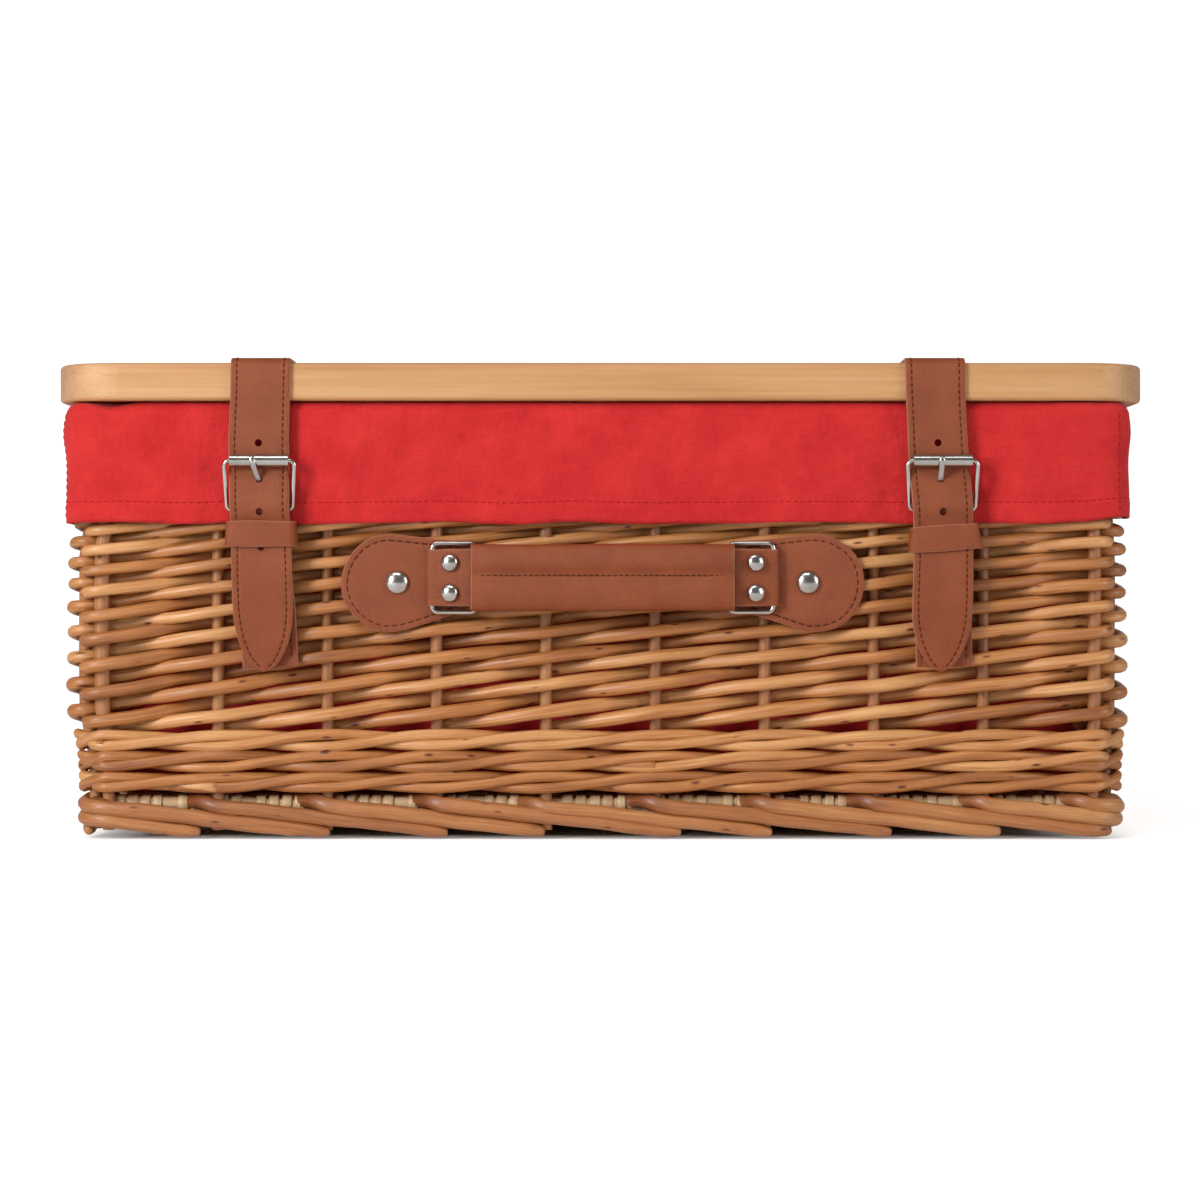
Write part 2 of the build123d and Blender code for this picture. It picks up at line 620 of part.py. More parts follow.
def write_ring(side, name):
    """Rectangular wire ring that joins the handle to its patch."""
    width = ((RING_OUTER_X - RING_INNER_X) ** 2 + ring_lean**2) ** 0.5
    ring_plane = Plane(
        origin=(HANDLE_X + side * RING_INNER_X, -RING_INNER_OUT, HANDLE_Z),
        x_dir=(side * (RING_OUTER_X - RING_INNER_X), -ring_lean, 0),
        z_dir=(ring_lean, side * (RING_OUTER_X - RING_INNER_X), 0),
    )
    with BuildPart() as ring:
        with BuildLine(ring_plane) as outline:
            Polyline(
                (0, 0),
                (0, ring_bar_height / 2),
                (width, ring_bar_height / 2),
                (width, -ring_bar_height / 2),
                (0, -ring_bar_height / 2),
                (0, 0),
            )
            corners = [v for v in outline.vertices() if abs(v.Z - HANDLE_Z) > 1]
            fillet(corners, radius=RING_CORNER)
        with BuildSketch(Plane(origin=ring_plane.origin, z_dir=(0, 0, 1))):
            Circle(RING_WIRE)
        sweep(path=outline.wires()[0])
    write_piece(ring, name)


def handle_strip(side):
    """Plan of the handle strap, from the ring's outer bar to the handle's middle."""
    back = TAB_OUT - HANDLE_PLY
    points = [
        (RING_OUTER_X, RING_OUTER_OUT - HANDLE_PLY),
        (GRIP_HALF_LENGTH + 1, back),
        (GAP / 2, back),
    ]
    outward = Side.RIGHT if side < 0 else Side.LEFT
    return strip_section(
        [(HANDLE_X + side * x, -out) for x, out in points], 2 * HANDLE_PLY, 3.0, outward
    )


tab_slope = atan2(TAB_OUT - RING_OUTER_OUT, RING_OUTER_X - GRIP_HALF_LENGTH - 1)
tab_rivet_out = RING_OUTER_OUT + (RING_OUTER_X - TAB_RIVET_X) * (TAB_OUT - RING_OUTER_OUT) / (
    RING_OUTER_X - GRIP_HALF_LENGTH - 1
)


def tab_plane(side, lift=0.0):
    """Plane on the tab at its rivets, facing out; lift moves it along the rivets' axis."""
    outward = Vector(side * sin(tab_slope), -cos(tab_slope), 0)
    middle = Vector(HANDLE_X + side * TAB_RIVET_X, -tab_rivet_out, HANDLE_Z)
    return Plane(origin=middle + outward * lift, x_dir=(0, 0, 1), z_dir=outward)


def write_handle_strap(side, name):
    """Leather strap inside one half of the handle, looped round the ring's outer bar."""
    with BuildPart() as handle_strap:
        with BuildSketch(Plane.XY.offset(handle_bottom)):
            add(handle_strip(side))
            with Locations((HANDLE_X + side * RING_OUTER_X, -RING_OUTER_OUT)):
                Circle(LOOP_RADIUS)
                Circle(ring_bore, mode=Mode.SUBTRACT)
        extrude(amount=TAB_HEIGHT)
        with BuildSketch(tab_plane(side)):
            with GridLocations(TAB_RIVET_SPACING, 1, 2, 1):
                Circle(RIVET_BORE)
        extrude(amount=HANDLE_PLY * 2, both=True, mode=Mode.SUBTRACT)
    write_piece(handle_strap, name)


def write_sleeve(side, name):
    """Leather sleeve round one half of the grip."""
    start = HANDLE_X + side * GAP / 2
    with BuildPart() as sleeve:
        with BuildSketch(Plane(origin=(start, -GRIP_OUT, HANDLE_Z), x_dir=(0, 1, 0), z_dir=(1, 0, 0))):
            RectangleRounded(GRIP_THICKNESS, GRIP_HEIGHT, 3.0)
            RectangleRounded(
                GRIP_THICKNESS - 2 * SLEEVE_THICKNESS,
                GRIP_HEIGHT - 2 * SLEEVE_THICKNESS,
                1.0,
                mode=Mode.SUBTRACT,
            )
        extrude(amount=side * (GRIP_HALF_LENGTH - GAP / 2))
    write_piece(sleeve, name)


def write_filler(side, name):
    """Padding between the strap and the front of the sleeve."""
    start = HANDLE_X + side * GAP / 2
    back = TAB_OUT + HANDLE_PLY + GAP
    front = SLEEVE_INNER_FRONT - GAP
    middle = (back + front) / 2
    with BuildPart() as filler:
        with BuildSketch(Plane(origin=(start, -middle, HANDLE_Z), x_dir=(0, 1, 0), z_dir=(1, 0, 0))):
            RectangleRounded(front - back, TAB_HEIGHT, 1.0)
        extrude(amount=side * (GRIP_HALF_LENGTH - 1))
    write_piece(filler, name)


def write_tab_rivets(side, name):
    """Two domed rivets through the handle's tab."""
    with BuildPart() as tab_rivets:
        with BuildSketch(tab_plane(side, HANDLE_PLY + GAP)):
            with GridLocations(TAB_RIVET_SPACING, 1, 2, 1):
                Circle(TAB_RIVET_HEAD)
        extrude(amount=TAB_RIVET_DOME)
        fillet(tab_rivets.edges().group_by(Axis.Y)[0], radius=TAB_RIVET_DOME * 0.85)
        with BuildSketch(tab_plane(side)):
            with GridLocations(TAB_RIVET_SPACING, 1, 2, 1):
                Circle(RIVET_SHANK)
        extrude(amount=HANDLE_PLY + GAP, both=True)
        with BuildSketch(tab_plane(side, -HANDLE_PLY - GAP)):
            with GridLocations(TAB_RIVET_SPACING, 1, 2, 1):
                Circle(TAB_RIVET_TAIL)
        extrude(amount=-WASHER_THICKNESS)
    write_piece(tab_rivets, name)


for side, slack, side_name in ((-1, 0.0, "left"), (1, RING_SLACK, "right")):
    write_patch(side, slack, side_name + "_handle_patch")
    write_ring(side, side_name + "_ring")
    write_handle_strap(side, side_name + "_handle_strap")
    write_sleeve(side, side_name + "_handle_sleeve")
    write_filler(side, side_name + "_handle_filler")
    write_tab_rivets(side, side_name + "_tab_rivets")


# ---- Rivets through the wall --------------------------------------------------------------
def write_wall_rivets(plane_at, surface, places, head, dome, name):
    """Rivets whose heads lie on a leather surface and whose shanks reach inside the wall."""
    shank_length = surface - WALL_INNER_Y + WASHER_THICKNESS + 2 * GAP
    with BuildPart() as rivets:
        with BuildSketch(plane_at(0, surface + GAP)):
            with Locations(*places):
                Circle(head)
        extrude(amount=dome)
        outermost = rivets.edges().group_by(Axis.Y)[0 if plane_at is front_view else -1]
        fillet(outermost, radius=dome * 0.85)
        with BuildSketch(plane_at(0, surface + GAP)):
            with Locations(*places):
                Circle(RIVET_SHANK)
        extrude(amount=-shank_length)
    write_piece(rivets, name)


def washer_outlines(plane_at, places):
    """Washers inside the wall, one behind each rivet."""
    with BuildSketch(plane_at(0, WALL_INNER_Y - GAP)) as outlines:
        with Locations(*places):
            Circle(WASHER_RADIUS)
            Circle(RIVET_BORE, mode=Mode.SUBTRACT)
    return outlines.sketch


write_wall_rivets(front_view, PATCH_FRONT, PATCH_RIVETS, 4.7, 2.6, "patch_rivets")
write_wall_rivets(
    front_view, BACK_STRAP_OUT + STRAP_THICKNESS, BUCKLE_STRAP_RIVETS, 4.0, 1.0, "buckle_strap_rivets"
)
write_wall_rivets(
    rear_view, BACK_STRAP_OUT + STRAP_THICKNESS, HINGE_STRAP_RIVETS, 4.4, 2.2, "hinge_strap_rivets"
)

with BuildPart() as rivet_washers:
    extrude(washer_outlines(front_view, PATCH_RIVETS + BUCKLE_STRAP_RIVETS), amount=-WASHER_THICKNESS)
    extrude(washer_outlines(rear_view, HINGE_STRAP_RIVETS), amount=-WASHER_THICKNESS)
write_piece(rivet_washers, "rivet_washers")
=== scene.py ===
"""Looks of a woven willow picnic hamper: a board lid, a red cloth liner turned over the rim, two
leather straps with roller buckles and a leather carrying handle.

Lengths are millimetres in the wicker's own frame until to_frame() turns them into metres in the
shared frame. X runs along the hamper, -Y is its front and +Z is up.
"""

import bmesh
import bpy
import numpy as np
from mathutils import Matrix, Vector
from mathutils.geometry import convex_hull_2d


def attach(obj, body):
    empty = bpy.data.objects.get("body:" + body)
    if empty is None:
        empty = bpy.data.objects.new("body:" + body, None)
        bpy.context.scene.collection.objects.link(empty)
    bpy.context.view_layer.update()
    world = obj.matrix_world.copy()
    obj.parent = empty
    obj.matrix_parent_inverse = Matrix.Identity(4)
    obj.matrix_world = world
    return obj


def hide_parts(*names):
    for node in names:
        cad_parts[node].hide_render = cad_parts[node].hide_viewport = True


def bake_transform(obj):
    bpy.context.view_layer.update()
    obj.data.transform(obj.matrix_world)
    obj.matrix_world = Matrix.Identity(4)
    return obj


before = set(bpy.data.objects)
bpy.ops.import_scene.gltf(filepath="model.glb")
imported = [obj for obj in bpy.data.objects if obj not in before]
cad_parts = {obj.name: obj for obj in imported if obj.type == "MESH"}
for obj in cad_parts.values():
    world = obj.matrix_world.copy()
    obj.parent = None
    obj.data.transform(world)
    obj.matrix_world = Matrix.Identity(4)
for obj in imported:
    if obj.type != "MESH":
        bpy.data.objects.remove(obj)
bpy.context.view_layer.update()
RANDOM_SEED = 7
rng = np.random.default_rng(RANDOM_SEED)

# ---- Driving dimensions -------------------------------------------------------------------
WICKER_BACK = 4.55             # the wicker's middle lies this far behind the frame's origin
WICKER_LENGTH = 460.0
WICKER_DEPTH = 320.0
WALL = 14.6
STAKE_RADIUS = 2.75
LONG_SIDE_STAKES = 10
LONG_SIDE_PITCH = 47.9
END_STAKES = 7
END_PITCH = 47.7
STAKE_FOOT = 4.0
STAKE_TOP = 186.0

WEAVER_BUTT_RADIUS = 3.0       # weavers taper from butt to tip as they climb
WEAVER_TIP_RADIUS = 2.2
WEAVER_STROKES = 29
WEAVE_BOTTOM = 52.3
WEAVE_TOP = 176.0
STROKE_RISE = 6.35
STROKE_RISE_LOSS = 0.0725
STROKE_RISE_LEAST = 4.1

WALE_RADIUS = 2.45
UPPER_WALE_RADIUS = 2.25
WALE_FIRST_ROW = 25.1
WALE_ROW_HEIGHT = 9.1
WALE_ROWS = 3
UPPER_WALE_HEIGHT = 179.0
RIM_HEIGHT = 182.6

BORDER_RADIUS = 3.45
BORDER_TOP = 14.6
BORDER_LENGTH = 105.0

BASE_MIDDLE = 15.25
BASE_STICKS = 11
BASE_STICK_PITCH = 26.13
BASE_STICK_RADIUS = 3.0
BASE_HALF_LENGTH = 219.5
BASE_HALF_DEPTH = 151.9
BASE_EDGE = 4.0                # outermost sticks inside the base's edge

# ---- Outline of the wall ------------------------------------------------------------------
WALL_MIDDLE_X = (WICKER_LENGTH - WALL) / 2
WALL_MIDDLE_Y = (WICKER_DEPTH - WALL) / 2
STAKES = 2 * (LONG_SIDE_STAKES + END_STAKES)


def stake_ring():
    """Middle and outward direction of every stake, anticlockwise from the front's left end."""
    along = (np.arange(LONG_SIDE_STAKES) - (LONG_SIDE_STAKES - 1) / 2) * LONG_SIDE_PITCH
    across = (np.arange(END_STAKES) - (END_STAKES - 1) / 2) * END_PITCH
    places = [(x, -WALL_MIDDLE_Y, 0, -1) for x in along]
    places += [(WALL_MIDDLE_X, y, 1, 0) for y in across]
    places += [(x, WALL_MIDDLE_Y, 0, 1) for x in along[::-1]]
    places += [(-WALL_MIDDLE_X, y, -1, 0) for y in across[::-1]]
    return np.array(places, float)


RING = stake_ring()


def to_frame(points):
    """Millimetres in the wicker's own frame to metres in the shared frame."""
    return (np.asarray(points, float) + (0.0, WICKER_BACK, 0.0)) / 1000


# ---- Lines and curves ---------------------------------------------------------------------
CURVE_SPACING = 2.6


def unit(vectors):
    """Vectors scaled to length one."""
    vectors = np.asarray(vectors, float)
    return vectors / np.maximum(np.linalg.norm(vectors, axis=-1, keepdims=True), 1e-9)


def directions(path):
    """Direction of travel at every point of a path."""
    return unit(np.gradient(path, axis=0))


def reach_along(path):
    """Distance travelled at every point of a path."""
    return np.concatenate([[0.0], np.cumsum(np.linalg.norm(np.diff(path, axis=0), axis=1))])


def at_distances(path, distances):
    """Points of a path at the given distances along it."""
    reach = reach_along(path)
    return np.column_stack([np.interp(distances, reach, column) for column in np.asarray(path).T])


def near(value, middle, width):
    """Soft bump that is 1 at the middle and fades over a width."""
    return np.exp(-((value - middle) / width)**2)


def fade(value, start, width):
    """Share that grows from 0 at a value to 1 a width further on."""
    return np.clip((value - start) / width, 0, 1)


def arc(middle, radius, start, end, count):
    """Points of an arc between two angles, given in half turns."""
    angles = np.linspace(start, end, count) * np.pi
    return [(middle[0] + radius * np.cos(a), middle[1] + radius * np.sin(a)) for a in angles]


def curve_through(points, headings):
    """Smooth path through points that leaves each one along its heading."""
    pieces = []
    for a, b, leave, arrive in zip(points[:-1], points[1:], headings[:-1], headings[1:]):
        span = np.linalg.norm(b - a)
        steps = max(2, int(round(span / CURVE_SPACING)))
        t = (np.arange(steps) / steps)[:, None]
        pieces.append((2 * t**3 - 3 * t**2 + 1) * a + (t**3 - 2 * t**2 + t) * leave * span
                      + (3 * t**2 - 2 * t**3) * b + (t**3 - t**2) * arrive * span)
    pieces.append(points[-1][None, :])
    return np.vstack(pieces)


def rounded_path(corners, bend, spacing=1.6):
    """Path through corners, each rounded off over a distance, with evenly spaced points."""
    corners = [np.asarray(corner, float) for corner in corners]
    points = [corners[0]]
    for before, corner, after in zip(corners, corners[1:], corners[2:]):
        room = min(bend, 0.48 * np.linalg.norm(corner - before), 0.48 * np.linalg.norm(after - corner))
        enter = corner + unit(before - corner) * room
        leave = corner + unit(after - corner) * room
        for t in np.linspace(0, 1, 9):
            points.append((1 - t)**2 * enter + 2 * t * (1 - t) * corner + t**2 * leave)
    points.append(corners[-1])
    points = np.array(points)
    total = reach_along(points)[-1]
    return at_distances(points, np.linspace(0, total, int(total / spacing) + 2))


def wander(path, amount, stretch):
    """Slow irregular drift of a path, as of a rod that isn't quite straight."""
    reach = reach_along(path)[:, None]
    drift = np.zeros_like(path)
    for share in (1.0, 2.3):
        wave = rng.uniform(0, 2 * np.pi, 3)
        drift += np.sin(reach * share * 2 * np.pi / stretch + wave) * amount / share
    return path + drift * (0.4, 0.4, 1.0)


# ---- Mesh building ------------------------------------------------------------------------
GRAIN_RANGE = 4000.0           # each rod and strip starts at a random place along its grain
DOMED_END = ((0.62, 0.45), (0.42, 0.8))    # (distance out, size) in radii, from the tip inwards
CUT_END = ((0.0, 0.86),)


def face_outwards(mesh):
    """Turns every closed surface of a mesh so that its faces look outwards."""
    editable = bmesh.new()
    editable.from_mesh(mesh)
    bmesh.ops.recalc_face_normals(editable, faces=editable.faces)
    editable.to_mesh(mesh)
    editable.free()


class Builder:
    """Collects closed surfaces, then writes them as one mesh object."""

    def __init__(self):
        self.points = []
        self.faces = []
        self.grain = []
        self.tone = []
        self.count = 0

    def add(self, points, faces, grain, tone):
        """Adds a closed surface. grain holds (around, around, along) in mm and tone one value."""
        self.points.append(points)
        self.faces.extend([[n + self.count for n in face] for face in faces])
        self.grain.append(grain)
        self.tone.append(np.broadcast_to(np.asarray(tone, float), len(points)))
        self.count += len(points)

    def write(self, name, material, body, slot, replaced=(), shape=None):
        """One smooth-shaded mesh object that rides on a body, its points first put through shape."""
        points = np.vstack(self.points)
        if shape:
            points = shape(points)
        mesh = bpy.data.meshes.new(name)
        mesh.from_pydata(to_frame(points).tolist(), [], self.faces)
        mesh.polygons.foreach_set("use_smooth", np.ones(len(self.faces), bool))
        grain = mesh.attributes.new("grain", "FLOAT_VECTOR", "POINT")
        grain.data.foreach_set("vector", np.vstack(self.grain).astype(np.float32).ravel())
        tone = mesh.attributes.new("tone", "FLOAT", "POINT")
        tone.data.foreach_set("value", np.concatenate(self.tone).astype(np.float32))
        face_outwards(mesh)
        mesh.materials.append(material)
        piece = bpy.data.objects.new(name, mesh)
        bpy.context.scene.collection.objects.link(piece)
        if body:
            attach(piece, body)
        if replaced:
            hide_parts(*replaced)
        return piece


def tube_faces(rings, sides, closed=False):
    """Faces between neighbouring rings, with a cap at each end or the last ring joined to the first."""
    first = np.arange(rings if closed else rings - 1)[:, None] * sides
    start = first + np.arange(sides)
    beside = first + (np.arange(sides) + 1) % sides
    quads = np.stack([start, beside, beside + sides, start + sides], axis=-1).reshape(-1, 4)
    faces = (quads % (rings * sides)).tolist()
    if not closed:
        faces.append(list(range(sides))[::-1])
        faces.append([(rings - 1) * sides + n for n in range(sides)])
    return faces


def carried_sides(path, first_side):
    """A sideways direction at every point of a path, carried along without twisting."""
    travel = directions(path)
    sides = np.empty_like(path)
    side = np.asarray(first_side, float)
    for n, heading in enumerate(travel):
        side = unit(side - heading * (side @ heading))
        sides[n] = side
    return travel, sides


def add_tube(builder, path, radius, tone, sides=8, cut=False):
    """Round rod along a path, with domed or bevel-cut ends."""
    path = np.asarray(path, float)
    travel, side = carried_sides(path, (0.0, 0.0, 1.0))
    if abs(travel[0][2]) > 0.9:
        travel, side = carried_sides(path, (1.0, 0.0, 0.0))
    end_out, end_size = np.transpose(CUT_END if cut else DOMED_END)
    number = np.pad(np.arange(len(path)), len(end_out), "edge")
    radius = np.broadcast_to(np.asarray(radius, float), len(path))[number]
    out = np.concatenate([-end_out, np.zeros(len(path)), end_out[::-1]]) * radius
    size = np.concatenate([end_size, np.ones(len(path)), end_size[::-1]]) * radius
    turn = np.arange(sides) * 2 * np.pi / sides
    circle = np.column_stack([np.cos(turn), np.sin(turn)])
    spread = np.stack([side, np.cross(travel, side)], axis=1)[number]
    centre = path[number] + travel[number] * out[:, None]
    points = centre[:, None, :] + circle @ spread * size[:, None, None]
    grain = np.empty_like(points)
    grain[..., :2] = circle * radius[:, None, None]
    grain[..., 2] = reach_along(path)[number][:, None] + rng.uniform(0, GRAIN_RANGE)
    tones = np.broadcast_to(np.asarray(tone, float), len(path))[number]
    faces = tube_faces(len(number), sides)
    builder.add(points.reshape(-1, 3), faces, grain.reshape(-1, 3), np.repeat(tones, sides))


# Half of a strip's broad face from its edge inwards: (distance from the edge, share of the thickness)
STRIP_EDGE = ((0.0, 0.35), (0.12, 0.72), (0.4, 0.93), (0.9, 1.0))
STRIP_GROOVE = ((2.1, 1.0), (2.7, 0.86), (3.3, 1.0), (5.0, 1.0))


def strip_ring(half_width, half_thick, grooved):
    """Outline of a flat strip's section: across, through, and 1 where it is the cut edge."""
    quarter = STRIP_EDGE + STRIP_GROOVE if grooved else STRIP_EDGE[:3:2]
    scale = min(1.0, half_width / (quarter[-1][0] + 0.2))
    side = [((half_width - inset * scale), level * half_thick, float(n < 2 and grooved))
            for n, (inset, level) in enumerate(quarter)]
    top = side + [(-x, z, cut) for x, z, cut in reversed(side)]
    return np.array(top + [(x, -z, cut) for x, z, cut in reversed(top)])


def add_strip(builder, path, face, width, thickness, tone=None, grooved=False):
    """Flat strip along a path; face is the direction its broad side looks at each point."""
    path = np.asarray(path, float)
    travel = directions(path)
    across = unit(np.cross(travel, unit(np.broadcast_to(face, path.shape))))
    normal = np.cross(across, travel)
    half = np.broadcast_to(np.asarray(width, float), len(path)) / 2
    rings = np.array([strip_ring(h, thickness / 2, grooved) for h in half])
    points = path[:, None, :] + rings[..., :1] * across[:, None, :] + rings[..., 1:2] * normal[:, None, :]
    grain = rings.copy()
    grain[..., 2] = reach_along(path)[:, None] + rng.uniform(0, GRAIN_RANGE)
    marks = rings[..., 2].ravel() if tone is None else tone
    builder.add(points.reshape(-1, 3), tube_faces(*rings.shape[:2]), grain.reshape(-1, 3), marks)


# ---- Materials ----------------------------------------------------------------------------
WHITE = (1.0, 1.0, 1.0)
PAPER = 0.93


class Nodes:
    """Node tree of a material or a world, with short ways to add to it."""

    def __init__(self, block, ending):
        block.use_nodes = True
        self.block = block
        self.tree = block.node_tree
        self.ending = self.tree.nodes[ending]

    def feed(self, node, inputs):
        """Gives a node's inputs, by name or number, a value, a colour or another node's output."""
        for key, given in inputs.items():
            socket = node.inputs[key]
            if hasattr(given, "is_output"):
                self.tree.links.new(given, socket)
            elif socket.type == "RGBA":
                socket.default_value = (*given, 1.0)
            else:
                socket.default_value = given

    def finish(self, **inputs):
        """Gives the last shader its inputs; an underscore stands for a space in their names."""
        self.feed(self.ending, {key.replace("_", " "): given for key, given in inputs.items()})

    def make(self, kind, inputs, **settings):
        """New node with its settings and inputs."""
        made = self.tree.nodes.new(kind)
        for key, value in settings.items():
            setattr(made, key, value)
        self.feed(made, inputs)
        return made

    def attribute(self, name, output):
        """A mesh attribute."""
        return self.make("ShaderNodeAttribute", {}, attribute_name=name).outputs[output]

    def place(self):
        """Place in the piece's own axes, in metres."""
        return self.make("ShaderNodeTexCoord", {}).outputs["Object"]

    def parts(self, vector):
        """The X, Y and Z of a vector."""
        return self.make("ShaderNodeSeparateXYZ", {"Vector": vector}).outputs

    def camera_ray(self):
        """1 for what the camera sees itself and 0 for light between surfaces."""
        return self.make("ShaderNodeLightPath", {}).outputs["Is Camera Ray"]

    def stretched(self, place, scale):
        """A place scaled differently along each axis."""
        return self.make("ShaderNodeMapping", {"Vector": place, "Scale": scale}).outputs["Vector"]

    def noise(self, place, scale, detail=3.0, roughness=0.55):
        """Noise value at a place; three scales stretch it along the axes."""
        if isinstance(scale, tuple):
            place = self.stretched(place, scale)
            scale = 1.0
        inputs = {"Vector": place, "Scale": scale, "Detail": detail, "Roughness": roughness}
        return self.make("ShaderNodeTexNoise", inputs).outputs["Fac"]

    def ramp(self, value, *stops):
        """Colour ramp with (position, colour) stops driven by a value."""
        made = self.make("ShaderNodeValToRGB", {"Fac": value})
        elements = made.color_ramp.elements
        while len(elements) < len(stops):
            elements.new(0.5)
        for element, (position, colour) in zip(elements, stops):
            element.position = position
            element.color = (*colour, 1.0)
        return made.outputs["Color"]

    def mixed(self, kind, share, first, second):
        """Two colours mixed by a share."""
        inputs = {"Factor": share, 6: first, 7: second}
        return self.make("ShaderNodeMix", inputs, data_type="RGBA", blend_type=kind).outputs[2]

    def calc(self, operation, first, second=0.0):
        """Arithmetic on one or two values."""
        return self.make("ShaderNodeMath", {0: first, 1: second}, operation=operation).outputs[0]

    def weighted(self, *terms):
        """Sum of (value, weight) terms."""
        products = [self.calc("MULTIPLY", value, weight) for value, weight in terms]
        total = products[0]
        for product in products[1:]:
            total = self.calc("ADD", total, product)
        return total

    def ranged(self, value, low, high, start=0.0, end=1.0, curve="LINEAR"):
        """A value between start and end brought to between low and high."""
        inputs = {"Value": value, "From Min": start, "From Max": end, "To Min": low, "To Max": high}
        return self.make("ShaderNodeMapRange", inputs, interpolation_type=curve).outputs["Result"]

    def relief(self, height, distance, strength=1.0):
        """Surface relief from a height value, in metres."""
        inputs = {"Height": height, "Distance": distance, "Strength": strength}
        self.finish(Normal=self.make("ShaderNodeBump", inputs).outputs["Normal"])


def new_material(name):
    """Nodes of a new material."""
    return Nodes(bpy.data.materials.new(name), "Principled BSDF")


def rod_material(name, dark, middle, light, gloss):
    """Peeled and boiled willow: streaks along the rod, darker patches and small brown knots."""
    rod = new_material(name)
    grain = rod.attribute("grain", "Vector")
    tone = rod.attribute("tone", "Fac")
    patches = rod.noise(grain, (0.05, 0.05, 0.022))
    streaks = rod.noise(grain, (0.9, 0.9, 0.035), 4.0, 0.65)
    # tone is each rod's random tone; on the foot border it also carries painted shade at the knuckles
    level = rod.weighted((tone, 0.42), (patches, 0.62), (streaks, 0.8))
    wood = rod.ramp(rod.calc("SUBTRACT", level, 0.43), (0.12, dark), (0.5, middle), (0.86, light))
    spots = rod.stretched(grain, (0.17, 0.17, 0.052))
    cells = rod.make("ShaderNodeTexVoronoi", {"Vector": spots, "Scale": 1.0})
    knots = rod.ranged(cells.outputs["Distance"], 0.0, 1.0, 0.15, 0.04, "SMOOTHSTEP")
    rod.finish(Base_Color=rod.mixed("MULTIPLY", knots, wood, (0.26, 0.12, 0.05)),
               Roughness=rod.ranged(streaks, gloss - 0.08, gloss + 0.12),
               Coat_Weight=0.42, Coat_Roughness=0.30)
    rod.relief(rod.weighted((streaks, 1.0), (knots, 0.8)), 0.0005)
    return rod.block


def leather_material():
    """Tan bridle leather: fine creases, a soft mottle and paler cut edges."""
    hide = new_material("tan_leather")
    grain = hide.attribute("grain", "Vector")
    mottle = hide.noise(grain, 0.07, 4.0)
    creases = hide.noise(grain, (1.9, 1.9, 0.55), 5.0, 0.7)
    pores = hide.noise(grain, 3.2, 2.0)
    base = hide.ramp(mottle, (0.25, (0.244, 0.052, 0.014)), (0.75, (0.316, 0.076, 0.022)))
    fine = hide.ramp(creases, (0.3, (0.70, 0.66, 0.64)), (0.62, WHITE))
    worn = hide.calc("MULTIPLY", hide.attribute("tone", "Fac"), 0.75)
    skin = hide.mixed("MULTIPLY", 0.6, base, fine)
    hide.finish(Base_Color=hide.mixed("MIX", worn, skin, (0.50, 0.225, 0.14)),
                Roughness=hide.ranged(creases, 0.26, 0.42), Specular_IOR_Level=0.32)
    hide.relief(hide.calc("ADD", creases, pores), 0.00022)
    return hide.block


def cloth_material():
    """Red cotton: plain weave, slubs and soft crumples."""
    cloth = new_material("red_cotton")
    grain = cloth.attribute("grain", "Vector")
    weft = cloth.noise(grain, (0.10, 1.0, 1.5), 3.0, 0.7)
    warp = cloth.noise(grain, (1.5, 1.0, 0.10), 3.0, 0.7)
    threads = cloth.calc("ADD", weft, warp)
    crumple = cloth.noise(grain, 0.045, 4.0, 0.6)
    base = cloth.ramp(crumple, (0.3, (0.55, 0.016, 0.018)), (0.7, (0.68, 0.031, 0.029)))
    fine = cloth.ramp(cloth.calc("MULTIPLY", threads, 0.5), (0.36, (0.80, 0.80, 0.80)), (0.62, WHITE))
    cloth.finish(Base_Color=cloth.mixed("MULTIPLY", 0.8, base, fine), Roughness=0.85,
                 Specular_IOR_Level=0.2, Sheen_Weight=0.06, Sheen_Roughness=0.5)
    cloth.relief(cloth.weighted((threads, 0.12), (crumple, 2.6)), 0.0016, 0.8)
    return cloth.block


def thread_material(name, colour):
    """Twisted sewing thread."""
    thread = new_material(name)
    twist = thread.noise(thread.attribute("grain", "Vector"), 2.4, 2.0)
    dark = tuple(c * 0.6 for c in colour)
    thread.finish(Base_Color=thread.ramp(twist, (0.35, dark), (0.65, colour)),
                  Roughness=0.9, Specular_IOR_Level=0.1)
    thread.relief(twist, 0.0002)
    return thread.block


def metal_material():
    """Nickel plate with faint scratches and handling marks."""
    metal = new_material("nickel_plate")
    place = metal.place()
    marks = metal.noise(place, (260, 900, 260), 4.0, 0.7)
    cloud = metal.noise(place, 90.0)
    metal.finish(Base_Color=metal.ramp(cloud, (0.3, (0.50, 0.48, 0.44)), (0.7, (0.68, 0.66, 0.62))),
                 Metallic=1.0, Roughness=metal.ranged(marks, 0.13, 0.32))
    metal.relief(marks, 0.00002)
    return metal.block


